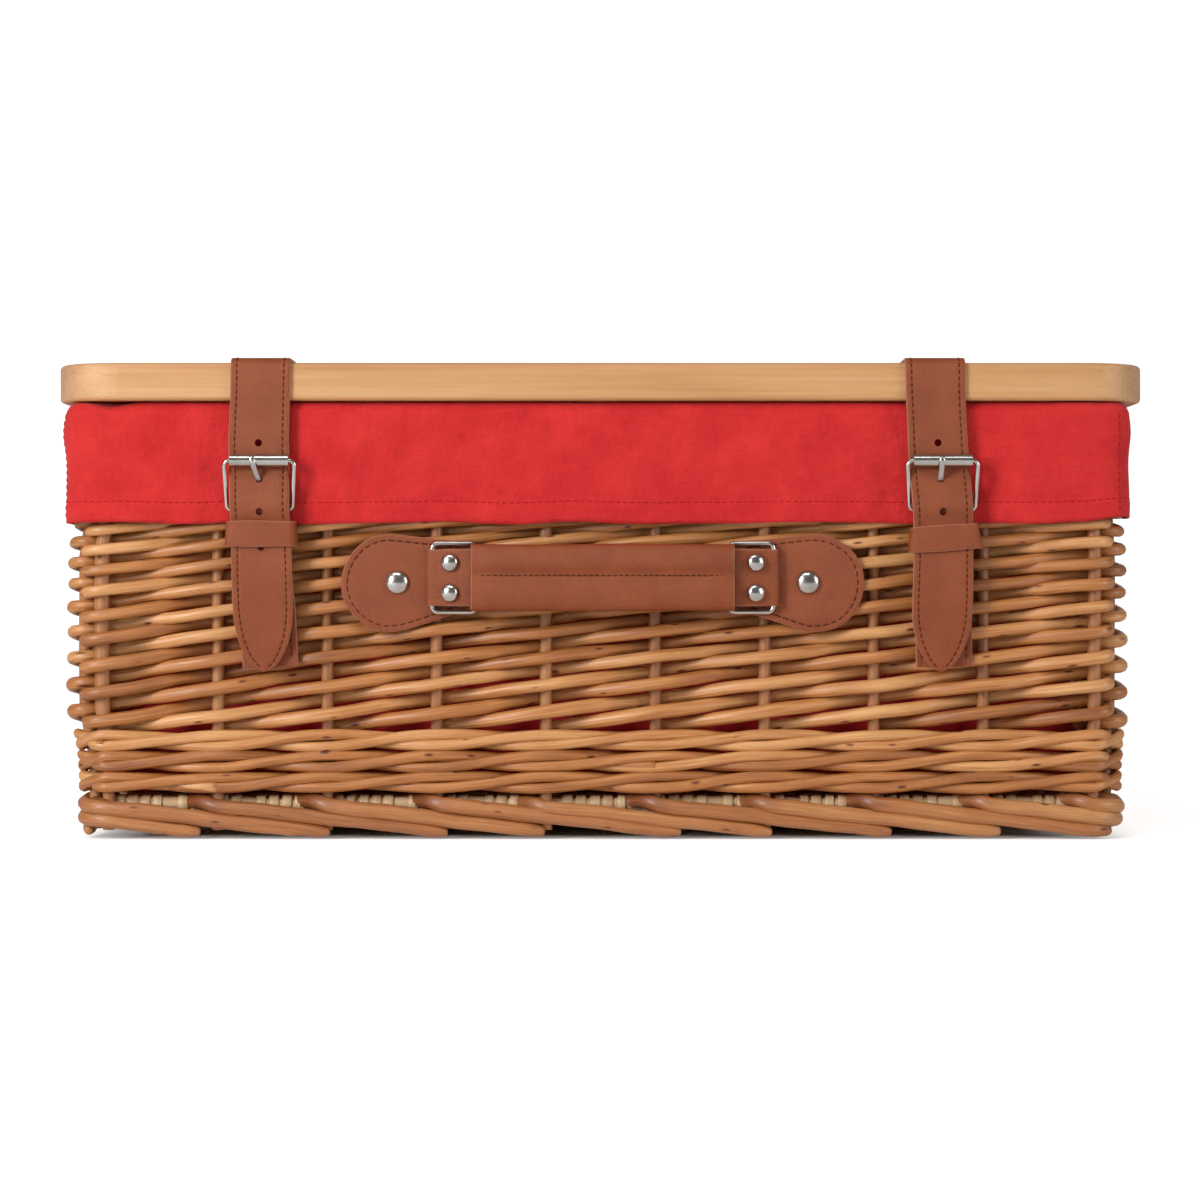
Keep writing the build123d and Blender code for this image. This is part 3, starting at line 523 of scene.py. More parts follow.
def board_material():
    """Pale pine board, its grain along the lid, darker and pinker where the ends are cut."""
    board = new_material("pale_pine")
    place = board.place()
    bend = board.noise(place, (1.7, 6.0, 6.0), 2.0)
    _, depth, height = board.parts(place)
    rings = board.calc("SINE", board.weighted((depth, 330.0), (height, 210.0), (bend, 38.0)))
    fibres = board.noise(place, (22.0, 900.0, 900.0), 4.0, 0.7)
    growth = board.noise(place, (2.2, 75.0, 75.0), 6.0, 0.6)
    level = board.weighted((rings, 0.035), (fibres, 0.30), (growth, 0.85), (bend, 0.15))
    base = board.ramp(level, (0.42, (0.44, 0.205, 0.072)), (0.62, (0.57, 0.295, 0.120)),
                      (0.82, (0.66, 0.380, 0.180)))
    facing = board.parts(board.make("ShaderNodeNewGeometry", {}).outputs["Normal"])
    end_share = board.ranged(board.calc("ABSOLUTE", facing["X"]), 0.0, 0.75, 0.35, 0.95, "SMOOTHSTEP")
    pores = board.noise(place, (500, 700, 900))
    end_grain = board.ramp(pores, (0.35, (0.40, 0.21, 0.115)), (0.65, (0.55, 0.33, 0.20)))
    board.finish(Base_Color=board.mixed("MIX", end_share, base, end_grain), Roughness=0.5)
    board.relief(fibres, 0.00012)
    return board.block


def paper_material(half_length, half_depth):
    """Matt white studio floor that glows for the camera except under the hamper."""
    paper = new_material("studio_paper")
    place = paper.place()
    shade = paper.ramp(paper.noise(place, 3.0), (0.3, (PAPER * 0.985,) * 3), (0.7, (PAPER,) * 3))
    x, y, _ = paper.parts(place)
    past_end = paper.calc("SUBTRACT", paper.calc("ABSOLUTE", x), half_length)
    past_side = paper.calc("SUBTRACT", paper.calc("ABSOLUTE", y), half_depth)
    past = paper.calc("MAXIMUM", past_end, past_side)
    clear = paper.ranged(past, 0.0, 0.72, 0.0, 0.06, "SMOOTHSTEP")
    paper.finish(Base_Color=shade, Roughness=0.9, Specular_IOR_Level=0.1, Emission_Color=WHITE,
                 Emission_Strength=paper.calc("MULTIPLY", paper.camera_ray(), clear))
    return paper.block


willow = rod_material("boiled_willow", (0.22, 0.060, 0.012), (0.50, 0.190, 0.048),
                      (0.76, 0.400, 0.155), 0.44)
stake_willow = rod_material("stake_willow", (0.24, 0.070, 0.018), (0.44, 0.165, 0.048),
                            (0.60, 0.29, 0.105), 0.46)
split_willow = rod_material("split_willow", (0.52, 0.30, 0.14), (0.76, 0.50, 0.26),
                            (0.88, 0.68, 0.43), 0.5)
leather = leather_material()
cotton = cloth_material()
nickel = metal_material()
pine = board_material()
brown_thread = thread_material("brown_thread", (0.120, 0.032, 0.012))
red_thread = thread_material("red_thread", (0.50, 0.014, 0.020))
wadding = thread_material("grey_wadding", (0.30, 0.28, 0.26))

# ---- Paths in and out of the stakes -------------------------------------------------------
def is_corner(stake):
    """True when the next stake stands on the next wall."""
    return abs(RING[stake, 2:] @ RING[(stake + 1) % STAKES, 2:]) < 0.5


def woven_path(first_stake, sides, heights, reach):
    """Path that passes each stake on the given side (+1 outside, -1 inside) and height.

    Where two stakes stand either side of a corner, the path bends round the outer one or goes
    through the gap between them.
    """
    points = []
    headings = []

    def go_through(place, height, heading):
        points.append((*place, height))
        headings.append((*heading, 0.0))

    for n, (side, height) in enumerate(zip(sides, heights)):
        stake = (first_stake + n) % STAKES
        middle = RING[stake, :2]
        normal = RING[stake, 2:]
        go_through(middle + normal * side * reach[n], height, (-normal[1], normal[0]))
        if n + 1 < len(sides) and is_corner(stake):
            following = RING[(stake + 1) % STAKES, :2]
            level = unit(following - middle)
            outward = np.array([level[1], -level[0]])
            rise = heights[n + 1] - height
            if side > 0:
                go_through(middle + outward * reach[n], height + 0.25 * rise, level)
            if side * sides[n + 1] < 0:
                go_through((middle + following) / 2, height + 0.5 * rise, -side * outward)
            if sides[n + 1] > 0:
                go_through(following + outward * reach[n + 1], height + 0.75 * rise, level)
    points = np.array(points)
    headings = np.array(headings)
    headings[:, 2] = np.gradient(points[:, 2]) / np.maximum(np.gradient(reach_along(points[:, :2])), 1e-6)
    return curve_through(points, headings)


# ---- Wicker -------------------------------------------------------------------------------
LEAN_LEFT = 4.6                # how far the end walls lean out above the waling
LEAN_RIGHT = 1.7
LEAN_UNDER_CUFF = 0.5          # and the share of it that is left under the cuff
END_WALL = (206, 15)           # start and width of the stretches over which the lean grows:
LEAN_RISE = (28, 34)           # along the length, up the wall
CUFF_RISE = (126, 12)          # and where the cuff takes some of it back
ROD_SIDES = 10


def leaning(points):
    """The end walls lean out a little between the waling and the cuff."""
    x, _, height = points.T
    amount = np.where(x < 0, LEAN_LEFT, LEAN_RIGHT) * fade(abs(x), *END_WALL)
    rise = fade(height, *LEAN_RISE)
    under_cuff = 1 - (1 - LEAN_UNDER_CUFF) * fade(height, *CUFF_RISE)
    leant = points.copy()
    leant[:, 0] += np.sign(x) * amount * rise**2 * (3 - 2 * rise) * under_cuff
    return leant


def write_rods(rods, name, material, replaced, shape=None):
    """Writes collected willow rods."""
    rods.write(name, material, "basket", "willow", replaced, shape)


def write_stakes():
    """Upright stakes, a little bowed at random along their height."""
    stakes = Builder()
    height = np.arange(STAKE_FOOT, STAKE_TOP + 1, 6.0)
    for x, y, _, _ in RING:
        straight = np.column_stack([np.full_like(height, x), np.full_like(height, y), height])
        path = wander(straight, 0.18, 90.0)
        path[:, 2] = height
        radius = STAKE_RADIUS * rng.uniform(0.95, 1.02)
        add_tube(stakes, path, radius, rng.uniform(0.1, 0.8), ROD_SIDES, cut=True)
    replaced = ("corner_stakes", "long_side_stakes", "end_stakes")
    write_rods(stakes, "willow_stakes", stake_willow, replaced, leaning)


def stroke_height(stroke):
    """Height of a weaver after a number of strokes, each rising less until the rise is even."""
    stroke = np.asarray(stroke, float) - 1
    last_curved = (STROKE_RISE - STROKE_RISE_LEAST) / (2 * STROKE_RISE_LOSS)
    curved = np.minimum(stroke, last_curved)
    rise = curved * STROKE_RISE - STROKE_RISE_LOSS * curved**2
    return WEAVE_BOTTOM + rise + (stroke - curved) * STROKE_RISE_LEAST


def wall_offsets(stakes):
    """Extra height at each stake of one wall: it grows fast after a corner, then levels."""
    steps = 1.9 * 0.52 ** np.arange(stakes - 1)
    steps = steps + (2.8 - steps.sum()) / (stakes - 1)
    return np.concatenate([[0], np.cumsum(steps)])


OFFSETS = np.concatenate([wall_offsets(LONG_SIDE_STAKES), wall_offsets(END_STAKES)] * 2)


def write_side_weave():
    """French randing: one weaver per stake, each passing in and out and climbing as it goes."""
    weave = Builder()
    strokes = np.arange(WEAVER_STROKES)
    side = np.where(strokes % 2 == 0, -1, 1)
    share = strokes / (WEAVER_STROKES - 1)
    taper = WEAVER_BUTT_RADIUS + (WEAVER_TIP_RADIUS - WEAVER_BUTT_RADIUS) * share**0.8
    for first in range(STAKES):
        offset = OFFSETS[(first + strokes) % STAKES]
        height = stroke_height(strokes) + offset + rng.normal(0, 0.28, WEAVER_STROKES)
        height = np.maximum(height, WEAVE_BOTTOM - 4.5)
        count = int((height < WEAVE_TOP).sum())
        radius = rng.uniform(0.95, 1.05) * taper[:count]
        path = woven_path(first, side[:count], height[:count], STAKE_RADIUS + radius - 0.15)
        along = np.linspace(0, 1, len(path))
        thick = np.interp(along, np.linspace(0, 1, count), radius)
        thick = thick * (1 + 0.035 * np.sin(along * rng.uniform(60, 90) + rng.uniform(0, 6)))
        add_tube(weave, wander(path, 0.22, 70.0), thick, rng.uniform(0, 1), ROD_SIDES, cut=True)
    write_rods(weave, "willow_side_weave", willow, ("side_weave",), leaning)


WALE_SIDES = (-1, 1, 1)        # a waling rod goes inside one stake, then outside two
WALE_LIFTS = (0.0, -1.0, 1.0)
WALE_LAPS = 3                  # a row is one path of three laps, each a stake on from the last
WALE_JOINS = 6


def add_wale(builder, level, radius):
    """One row of waling, in rods that end and start again at random stakes."""
    steps = STAKES * WALE_LAPS
    shift = rng.integers(0, STAKES)
    joins = np.sort(rng.choice(np.arange(3, steps - 3), WALE_JOINS, replace=False))
    joins = [join - join % 3 for join in joins]
    for start, end in zip([0, *joins], [*joins, steps]):
        if end - start < 3:
            continue
        used = np.arange(start, min(end + 2, steps + 1))
        height = level + np.take(WALE_LIFTS, used % 3) * radius + rng.normal(0, 0.18, len(used))
        path = woven_path(int(shift + start) % STAKES, np.take(WALE_SIDES, used % 3), height,
                          np.full(len(used), STAKE_RADIUS + radius - 0.1))
        path = wander(path, 0.15, 60.0)
        thick = radius * rng.uniform(0.95, 1.05)
        thick = thick * (1 + 0.03 * np.sin(np.linspace(0, rng.uniform(20, 50), len(path))))
        add_tube(builder, path, thick, rng.uniform(0, 1), ROD_SIDES, cut=True)


def write_wales():
    """Three rows of waling above the foot, one under the rim and one along it."""
    lower = Builder()
    for row in range(WALE_ROWS):
        add_wale(lower, WALE_FIRST_ROW + row * WALE_ROW_HEIGHT, WALE_RADIUS)
    write_rods(lower, "willow_lower_wale", willow, ("lower_wale",), leaning)
    for name, height in (("upper_wale", UPPER_WALE_HEIGHT), ("top_border", RIM_HEIGHT)):
        row = Builder()
        add_wale(row, height, UPPER_WALE_RADIUS)
        write_rods(row, f"willow_{name}", willow, (name,))


def rounded_outline(half_length, half_depth, corner):
    """Rounded rectangle: distance round it, and place and outward direction at each distance."""
    half = np.array([half_length, half_depth])
    turn = np.linspace(0, np.pi / 2, 9)
    centres = [(1, -1, -np.pi / 2), (1, 1, 0.0), (-1, 1, np.pi / 2), (-1, -1, np.pi)]
    points = [(-half[0] + corner, -half[1], 0.0, -1.0)]
    for side_x, side_y, start in centres:
        for angle in start + turn:
            normal = np.array([np.cos(angle), np.sin(angle)])
            middle = np.array([side_x, side_y]) * (half - corner)
            points.append((*(middle + normal * corner), *normal))
    points.append(points[0])
    points = np.array(points)
    return reach_along(points[:, :2]), points


def placed_on(position, positions, points):
    """Places and outward directions at positions in an outline's list of points."""
    columns = [np.interp(position, positions, points[:, n]) for n in range(4)]
    return np.stack(columns[:2], axis=-1), unit(np.stack(columns[2:], axis=-1))


WALL_REACH, WALL_POINTS = rounded_outline(WALL_MIDDLE_X, WALL_MIDDLE_Y, 8.0)


def on_wall(distance, out):
    """Points at distances round the wall's middle line, each moved outwards by out."""
    place, normal = placed_on(np.asarray(distance, float) % WALL_REACH[-1], WALL_REACH, WALL_POINTS)
    return place + normal * np.asarray(out)[..., None]


def stake_distance(stake):
    """Distance round the wall at which a stake stands."""
    fine = np.linspace(0, WALL_REACH[-1], 4000)
    places = on_wall(fine, np.zeros_like(fine))
    return fine[np.linalg.norm(places - RING[stake, :2], axis=1).argmin()]


def write_foot_border():
    """Trac border: each rod comes out from behind a stake, kinks and runs down under the next."""
    border = Builder()
    knuckle_along = [-13, -8, -4, -1, 2.0, 5.5]
    knuckle_lift = np.array([-1.0, 0.6, 1.6, 1.8, 1.2])
    knuckle_depth = (-6.5, -5.6, -3.0, 0.6, 3.2)
    bent = len(knuckle_lift)
    for stake in range(STAKES):
        start = stake_distance(stake) + rng.uniform(-6.5, -2.5)
        length = BORDER_LENGTH + rng.uniform(-7, 4)
        top = BORDER_TOP + rng.uniform(-0.6, 0.9)
        along = np.concatenate([knuckle_along, np.linspace(12, length, 34)])
        share = fade(along, 4, length - 4)
        height = top + (BORDER_RADIUS - top) * share**1.06
        height[:bent] = top + knuckle_lift
        depth = np.full(len(along), STAKE_RADIUS + BORDER_RADIUS - 1.6)
        depth[:bent] = knuckle_depth
        depth[bent + 1:] += 0.7 - 2.6 * share[bent + 1:] ** 1.5
        path = wander(np.column_stack([on_wall(start + along, depth), height]), 0.2, 50.0)
        radius = BORDER_RADIUS * rng.uniform(0.95, 1.04) * (1 - 0.08 * share)
        # Random tone per rod, minus painted shade at the knuckle where the rod bends out from behind the
        # stake
        tone = rng.uniform(0.2, 1) - 0.9 * near(along, 0.0, 7.0)
        add_tube(border, path, radius * (1 - 0.3 * fade(share, 0.95, 0.05)), tone, sides=12)
    write_rods(border, "willow_foot_border", stake_willow, ("foot_border",))


def write_base():
    """Base of lengthwise sticks with split strips woven across them."""
    sticks = Builder()
    rows = (np.arange(BASE_STICKS) - (BASE_STICKS - 1) / 2) * BASE_STICK_PITCH
    length = np.arange(-BASE_HALF_LENGTH, BASE_HALF_LENGTH, 12.0)
    for y in [*rows, -BASE_HALF_DEPTH + BASE_EDGE, BASE_HALF_DEPTH - BASE_EDGE]:
        path = np.column_stack([length, np.full_like(length, y), np.full_like(length, BASE_MIDDLE)])
        add_tube(sticks, wander(path, 0.3, 120.0), BASE_STICK_RADIUS, rng.uniform(0.2, 1), cut=True)
    write_rods(sticks, "willow_base_sticks", split_willow, ("base_sticks",))
    strips = Builder()
    steps = np.linspace(-1, 1, 67)
    y = steps * (BASE_HALF_DEPTH - 0.7)
    wave = 3.6 * np.cos(y / BASE_STICK_PITCH * np.pi) * np.clip((1 - abs(steps)) * 12, 0.2, 1)
    turn = np.linspace(-0.5, 0.5, 5) * np.pi
    x = -BASE_HALF_LENGTH + 3.0
    number = 0
    while x < BASE_HALF_LENGTH - 2:
        width = rng.uniform(3.7, 4.5)
        height = BASE_MIDDLE + wave * (1 if number % 2 else -1)
        path = np.column_stack([np.full_like(y, x), y, height])
        face = np.column_stack([np.zeros_like(y), -np.gradient(height), np.gradient(y)])
        add_strip(strips, path, face, width, 1.1, rng.uniform(0.3, 1))
        for side in (-1, 1):
            out = side * (BASE_HALF_DEPTH - BASE_EDGE + 3.4 * np.cos(turn))
            wrap = np.column_stack([np.full_like(turn, x), out, BASE_MIDDLE + 3.7 * np.sin(turn)])
            facing = np.column_stack([np.zeros_like(turn), side * np.cos(turn), np.sin(turn)])
            add_strip(strips, wrap, facing, width, 1.0, rng.uniform(0.3, 1))
        number += 1
        x += width + rng.uniform(1.1, 1.9) + (5.5 if number % 5 == 0 else 0)
    strips.write("split_willow_base_weave", split_willow, "basket", "split_willow", ("base_weave",))


write_stakes()
write_side_weave()
write_wales()
write_foot_border()
write_base()

# ---- Stitches, straps and punched holes ---------------------------------------------------
SEAM_START = 3.0
STITCH_INSET = 2.7
STITCH_PITCH = 2.9
STITCH_RADIUS = 0.32
STITCH_SHARE = 0.68            # of the pitch that a stitch spans
STITCH_PLACES = np.array([0.0, 0.12, 0.5, 0.88, 1.0])
STITCH_LIFTS = np.array([-0.30, 0.02, 0.12, 0.02, -0.30])


def add_stitches(builder, line, facing, pitch=STITCH_PITCH, radius=STITCH_RADIUS):
    """Row of separate stitches along a line on a surface."""
    reach = reach_along(line)
    facing = np.broadcast_to(np.asarray(facing, float), line.shape)
    for start in np.arange(pitch * 0.3, reach[-1] - pitch * 0.6, pitch):
        places = start + STITCH_PLACES * pitch * STITCH_SHARE
        away = unit(np.column_stack([np.interp(places, reach, column) for column in facing.T]))
        add_tube(builder, at_distances(line, places) + away * STITCH_LIFTS[:, None], radius, 0.0, sides=6)


def facing_of(section):
    """Outward side of a path drawn as (out, height), when it runs outwards and then down."""
    travel = directions(section)
    return np.column_stack([-travel[:, 1], travel[:, 0]])


class Strap:
    """Flat leather strap along a section drawn as (out, height), sewn along both edges.

    line gives the strap's sideways place as (height, x) points. The strap hangs in front of the
    wicker (front is -1) or behind it (front is 1), and inside_out turns its broad face round.
    """

    def __init__(self, corners, bend, line, front, width, inside_out=False, tip=0.0):
        section = rounded_path(corners, bend)
        if tip:
            total = reach_along(section)[-1]
            places = np.concatenate([np.arange(0, total - 5, 1.6), np.arange(total - 5, total, 0.5), [total]])
            section = at_distances(section, places)
        out, height = section.T
        self.line = line
        facing = facing_of(section) * (-1 if inside_out else 1)
        self.path = np.column_stack([self.middle(height), front * out, height])
        self.facing = np.column_stack([np.zeros(len(section)), front * facing[:, 0], facing[:, 1]])
        self.across = unit(np.cross(directions(self.path), self.facing))
        self.half = np.full(len(section), width / 2)
        reach = reach_along(section)
        if tip:
            pointed = 1 - (1 - np.clip((reach[-1] - reach) / tip, 0.0015, 1))**2
            self.half = width / 2 * pointed**0.54
        self.half = self.half + 0.12 * np.sin(reach / 9.0 + self.middle(0))

    def middle(self, height):
        """The strap's sideways place at a height."""
        return np.interp(height, *zip(*self.line))

    def leather(self, name, body, replaced):
        """Writes the strap."""
        builder = Builder()
        add_strip(builder, self.path, self.facing, 2 * self.half, STRAP_THICKNESS, grooved=True)
        return builder.write(name, leather, body, "tan_leather", replaced)

    def stitches(self, name, body, unsewn):
        """Writes the stitches along both edges, up to an unsewn length at the far end."""
        builder = Builder()
        surface = self.path + self.facing * STRAP_THICKNESS * 0.43
        reach = reach_along(self.path)
        used = (reach > SEAM_START) & (reach < reach[-1] - unsewn)
        for side in (-1, 1):
            line = surface + self.across * (side * np.maximum(self.half - STITCH_INSET, 0))[:, None]
            add_stitches(builder, line[used], self.facing[used])
        return builder.write(name, brown_thread, body, "tan_leather")


def punch(piece, cutter, strap):
    """Cuts a builder's closed shapes out of a strap and carries its grain on to the cuts."""
    first = piece.data.attributes["grain"].data[0].vector[2]
    uncut = {tuple(round(c, 6) for c in vertex.co) for vertex in piece.data.vertices}
    tool = cutter.write("punch_tool", leather, None, "tan_leather")
    modifier = piece.modifiers.new("punch", "BOOLEAN")
    modifier.object = tool
    modifier.solver = "EXACT"
    bpy.context.view_layer.update()
    finished = piece.evaluated_get(bpy.context.evaluated_depsgraph_get())
    mesh = bpy.data.meshes.new_from_object(finished)
    mesh.set_sharp_from_angle(angle=SHARP_ANGLE)
    piece.modifiers.clear()
    piece.data = mesh
    bpy.data.objects.remove(tool)
    line = to_frame(strap.path)
    travel = directions(strap.path)
    reach = reach_along(strap.path)
    grains = mesh.attributes["grain"].data
    tones = mesh.attributes["tone"].data
    for vertex, grain, tone in zip(mesh.vertices, grains, tones):
        if tuple(round(c, 6) for c in vertex.co) in uncut:
            continue
        nearest = int(np.argmin(((line - np.array(vertex.co))**2).sum(axis=1)))
        offset = (np.array(vertex.co) - line[nearest]) * 1000
        grain.vector = (offset @ strap.across[nearest], offset @ strap.facing[nearest],
                        first + reach[nearest] + offset @ travel[nearest])
        tone.value = 0.0


SHARP_ANGLE = np.radians(40)   # a punched hole's rim is sharper than this
STRAP_WIDTH = 26.0
STRAP_THICKNESS = 2.0
STRAP_TIP = 28.0
STRAP_BEND = 3.4
STRAP_X = {"left": -148.0, "right": 148.5}
LID_STRAP_X = {"left": -150.34, "right": 147.044}
STRAP_LINE = {                 # how each strap wanders sideways as it hangs: (height, x)
    "left": ((70, -146.0), (127, -147.1), (143, -147.7), (173, -148.6), (195, -147.9), (212, -147.7)),
    "right": ((70, 148.0), (127, 148.8), (143, 148.5), (173, 146.6), (195, 145.6), (212, 145.4)),
}
LID_STRAP_MIDDLE = 209.2       # height of the strap's middle layer where it lies on the lid
LID_FACE_OUT = 166.2           # and how far out it hangs over the lid's edge
STRAP_JOIN = 120.0             # how far in front the two visible lengths of a strap meet, on the lid
REAR_STRAP_REACH = 240.0
HOLE_HEIGHTS = (173.0, 143.0, 127.6)
HOLE_RADIUS = 1.6
PRONG_SLOT_HEIGHT = 157.0
PRONG_SLOT = (3.0, 2.8)
TAIL_CUT = (160.0, 178.0)      # how far out the cutters of a strap's holes begin and end
HEEL_SLOT = (4.4, 6.0)
HEEL_CUT = (161.0, 175.0)
HEEL_OUT = 167.0               # the buckle's heel bar
HEEL_HEIGHT = 144.0
BUCKLE_STRAP_WIDTH = 24.4
FOOT_DRIFT = {"left": 0.062, "right": 0.02}
KEEPER_HALF = 14.9
KEEPER_BACK = 163.15
KEEPER_FRONT = 171.2
KEEPER_WIDTH = 11.2
KEEPER_THICKNESS = 1.3
PRONG_THICKNESS = 1.4
HINGE_RIVET = (4.4, 2.2)       # radius and height of a rivet's head
HINGE_RIVET_OUT = 162.5
HINGE_RIVET_HEIGHTS = (100.0, 116.0)


def through(x, height, cut):
    """Path of a cutter through a strap."""
    return [[x, -out, height] for out in cut]


def front_straps(side):
    """Pointed strap end and buckle strap of one closure."""
    x = STRAP_X[side]
    heel_face = HEEL_OUT + 4.2
    tail = Strap(
        [(STRAP_JOIN, LID_STRAP_MIDDLE), (LID_FACE_OUT, LID_STRAP_MIDDLE), (LID_FACE_OUT, 162.0),
         (heel_face, 147.5), (heel_face, 143.4), (169.4, 139.4), (169.4, 114.0), (164.4, 73.6)],
        STRAP_BEND, STRAP_LINE[side], -1, STRAP_WIDTH, tip=STRAP_TIP)
    strap = tail.leather(f"{side}_strap_front", None, (f"{side}_strap_end",))
    holes = Builder()
    for height in HOLE_HEIGHTS:
        add_tube(holes, through(tail.middle(height), height, TAIL_CUT), HOLE_RADIUS, 0.0, sides=18, cut=True)
    slot_path = through(tail.middle(PRONG_SLOT_HEIGHT), PRONG_SLOT_HEIGHT, TAIL_CUT)
    add_strip(holes, slot_path, (0, 0, 1), *PRONG_SLOT)
    punch(strap, holes, tail)
    stitches = tail.stitches(f"{side}_strap_front_stitches", None, unsewn=1.2)
    for piece in (strap, stitches):
        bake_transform(piece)
    drift = FOOT_DRIFT[side] * HEEL_HEIGHT
    round_heel = arc((HEEL_OUT, HEEL_HEIGHT), 2.0, 1, -0.45 / np.pi, 9)
    folded = Strap(
        [(161.4, 75.5), (161.4, 99.0), (165.0, 112.0), *round_heel, (167.25, 140.4), (167.25, 118.5)],
        1.2, ((0, x + drift), (2 * HEEL_HEIGHT, x - drift)), -1, BUCKLE_STRAP_WIDTH, inside_out=True)
    strap = folded.leather(f"{side}_buckle_strap_leather", "basket", (f"{side}_buckle_strap",))
    window = Builder()
    add_strip(window, through(x, HEEL_HEIGHT + 3.4, HEEL_CUT), (0, 0, 1), *HEEL_SLOT)
    punch(strap, window, folded)
    folded.stitches(f"{side}_buckle_strap_stitches", "basket", unsewn=55.0)


def rear_strap(side):
    """Strap from the back wall, up over the lid's back edge and along the lid."""
    strap = Strap(
        [(161.4, 92.0), (161.4, 124.0), (163.5, 135.0), (163.5, 176.0), (LID_FACE_OUT, 186.0),
         (LID_FACE_OUT, LID_STRAP_MIDDLE), (STRAP_JOIN - REAR_STRAP_REACH, LID_STRAP_MIDDLE)],
        STRAP_BEND, ((0, LID_STRAP_X[side]),), 1, STRAP_WIDTH, inside_out=True)
    pieces = (strap.leather(f"{side}_strap_rear", None, (f"{side}_hinge_strap", f"{side}_lid_strap")),
              strap.stitches(f"{side}_strap_rear_stitches", None, unsewn=0.5))
    for piece in pieces:
        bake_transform(piece)


def write_keeper(side, x, height, tilt, flare):
    """Leather loop that holds the strap's point."""
    corners = [(x, -KEEPER_BACK), (x + KEEPER_HALF, -KEEPER_BACK), (x + KEEPER_HALF, -KEEPER_FRONT),
               (x, -KEEPER_FRONT - 0.5), (x - KEEPER_HALF, -KEEPER_FRONT), (x - KEEPER_HALF, -KEEPER_BACK),
               (x + 0.5, -KEEPER_BACK)]
    loop = rounded_path(corners, 2.6, 1.3)
    path = np.column_stack([loop, np.full(len(loop), height)])
    travel = directions(path)
    facing = np.column_stack([-travel[:, 1], travel[:, 0], np.zeros(len(path))])
    body = Builder()
    widths = KEEPER_WIDTH + 0.35 * np.sin(reach_along(path) / 5.0)
    add_strip(body, path, facing, widths, KEEPER_THICKNESS, grooved=True)

    def tilted(points):
        away = points - (x, 0, height)
        turned = away.copy()
        turned[:, 0] = away[:, 0] * (1 - flare * away[:, 2] / 5) - away[:, 2] * tilt
        turned[:, 2] += away[:, 0] * tilt
        return turned + (x, 0, height)

    body.write(f"{side}_keeper_leather", leather, f"{side}_keeper_loop", "tan_leather",
               (f"{side}_keeper",), tilted)


def write_prong(side, x, lean):
    """Flat prong hooked round the heel bar, through the strap and resting on the roller."""
    hook = arc((HEEL_OUT, HEEL_HEIGHT), 1.55, 1.65, 0.4, 9)
    section = rounded_path([*hook, (HEEL_OUT - 0.6, 154.5), (173.4, 163.0), (174.0, 165.2), (173.5, 167.0)],
                           1.6, 0.8)
    out, height = section.T
    facing = facing_of(section)
    left = reach_along(section)[-1] - reach_along(section)
    prong = Builder()
    add_strip(prong, np.column_stack([x + (height - 158.0) * lean, -out, height]),
              np.column_stack([np.zeros(len(section)), -facing[:, 0], facing[:, 1]]),
              np.interp(left, (0, 0.9, 6, 12), (1.4, 2.4, 2.6, 3.3)), PRONG_THICKNESS)
    prong.write(f"{side}_prong_wire", nickel, f"{side}_prong", "nickel", (f"{side}_buckle_prong",))


def add_dome(builder, middle, away, radius, height):
    """Domed rivet head with a thin skirt, standing on a point and looking away from it."""
    away = unit(np.asarray(away, float))
    side = unit(np.cross(away, (0.0, 0.0, 1.0)))
    other = np.cross(away, side)
    turn = np.linspace(0, 2 * np.pi, 36, endpoint=False)
    rise = np.linspace(0.0, 0.5, 10)[:-1] * np.pi
    profile = [(1.0, -0.6), (1.0, 0.08)]
    profile += [(0.985 * np.cos(a), 0.2 + (height - 0.2) * np.sin(a)) for a in rise]
    points = [middle + away * lift + radius * share * (np.cos(t) * side + np.sin(t) * other)
              for share, lift in profile for t in turn]
    points.append(middle + away * height)
    faces = tube_faces(len(profile), len(turn))
    rim = faces.pop()
    faces += [[a, b, len(points) - 1] for a, b in zip(rim, rim[1:] + rim[:1])]
    builder.add(np.array(points), faces, np.array(points), 0.0)


def write_rivets(name, body, places, away, size):
    """Domed rivet heads that stand for the rivets of the same name."""
    heads = Builder()
    for place in places:
        add_dome(heads, np.array(place), away, *size)
    heads.write(name, nickel, body, "nickel", (name.replace("rivet_heads", "rivets"),))


front_straps("left")
front_straps("right")
write_keeper("left", -147.3, 133.4, 0.0, 0.02)
write_keeper("right", 149.5, 131.6, 0.07, 0.05)
rear_strap("left")
rear_strap("right")
write_prong("left", -149.0, -0.24)
write_prong("right", 147.6, 0.03)
write_rivets("hinge_strap_rivet_heads", "basket",
             [(x, HINGE_RIVET_OUT, z) for x in STRAP_X.values() for z in HINGE_RIVET_HEIGHTS],
             (0, 1, 0), HINGE_RIVET)

# ---- Carrying handle ----------------------------------------------------------------------
HANDLE_X = 1.0
HANDLE_Z = 114.4
PATCH_BACK = 160.4
PATCH_THICKNESS = 1.9
PATCH_LIFT = 0.35              # the patch stands off the weave, and warps by as much
PATCH_ROUND = (92.6, 112.0, 21.5)          # middle and radius of its round end
PATCH_NECK = (56.0, 101.6, 129.6)          # sideways place, bottom and top of its straight end
RING_INNER = (55.2, 163.45)
RING_OUTER = (74.2, 165.15)
PATCH_RIVET = (5.2, 2.8)       # radius and height of a head,
PATCH_RIVET_PLACE = (89.5, 162.9, 112.4)   # and its place: sideways, outwards and height
TAB_RIVET = (4.0, 2.4)
TAB_RIVET_PLACE = (66.5, 169.9, 6.6)       # sideways, outwards, and up or down from the middle
LOOP_WIDTH = 24.4
TAB_WIDTH = 24.6
LOOP_THICKNESS = 1.5
GRIP_HALF = 57.0
GRIP_BACK = 166.3
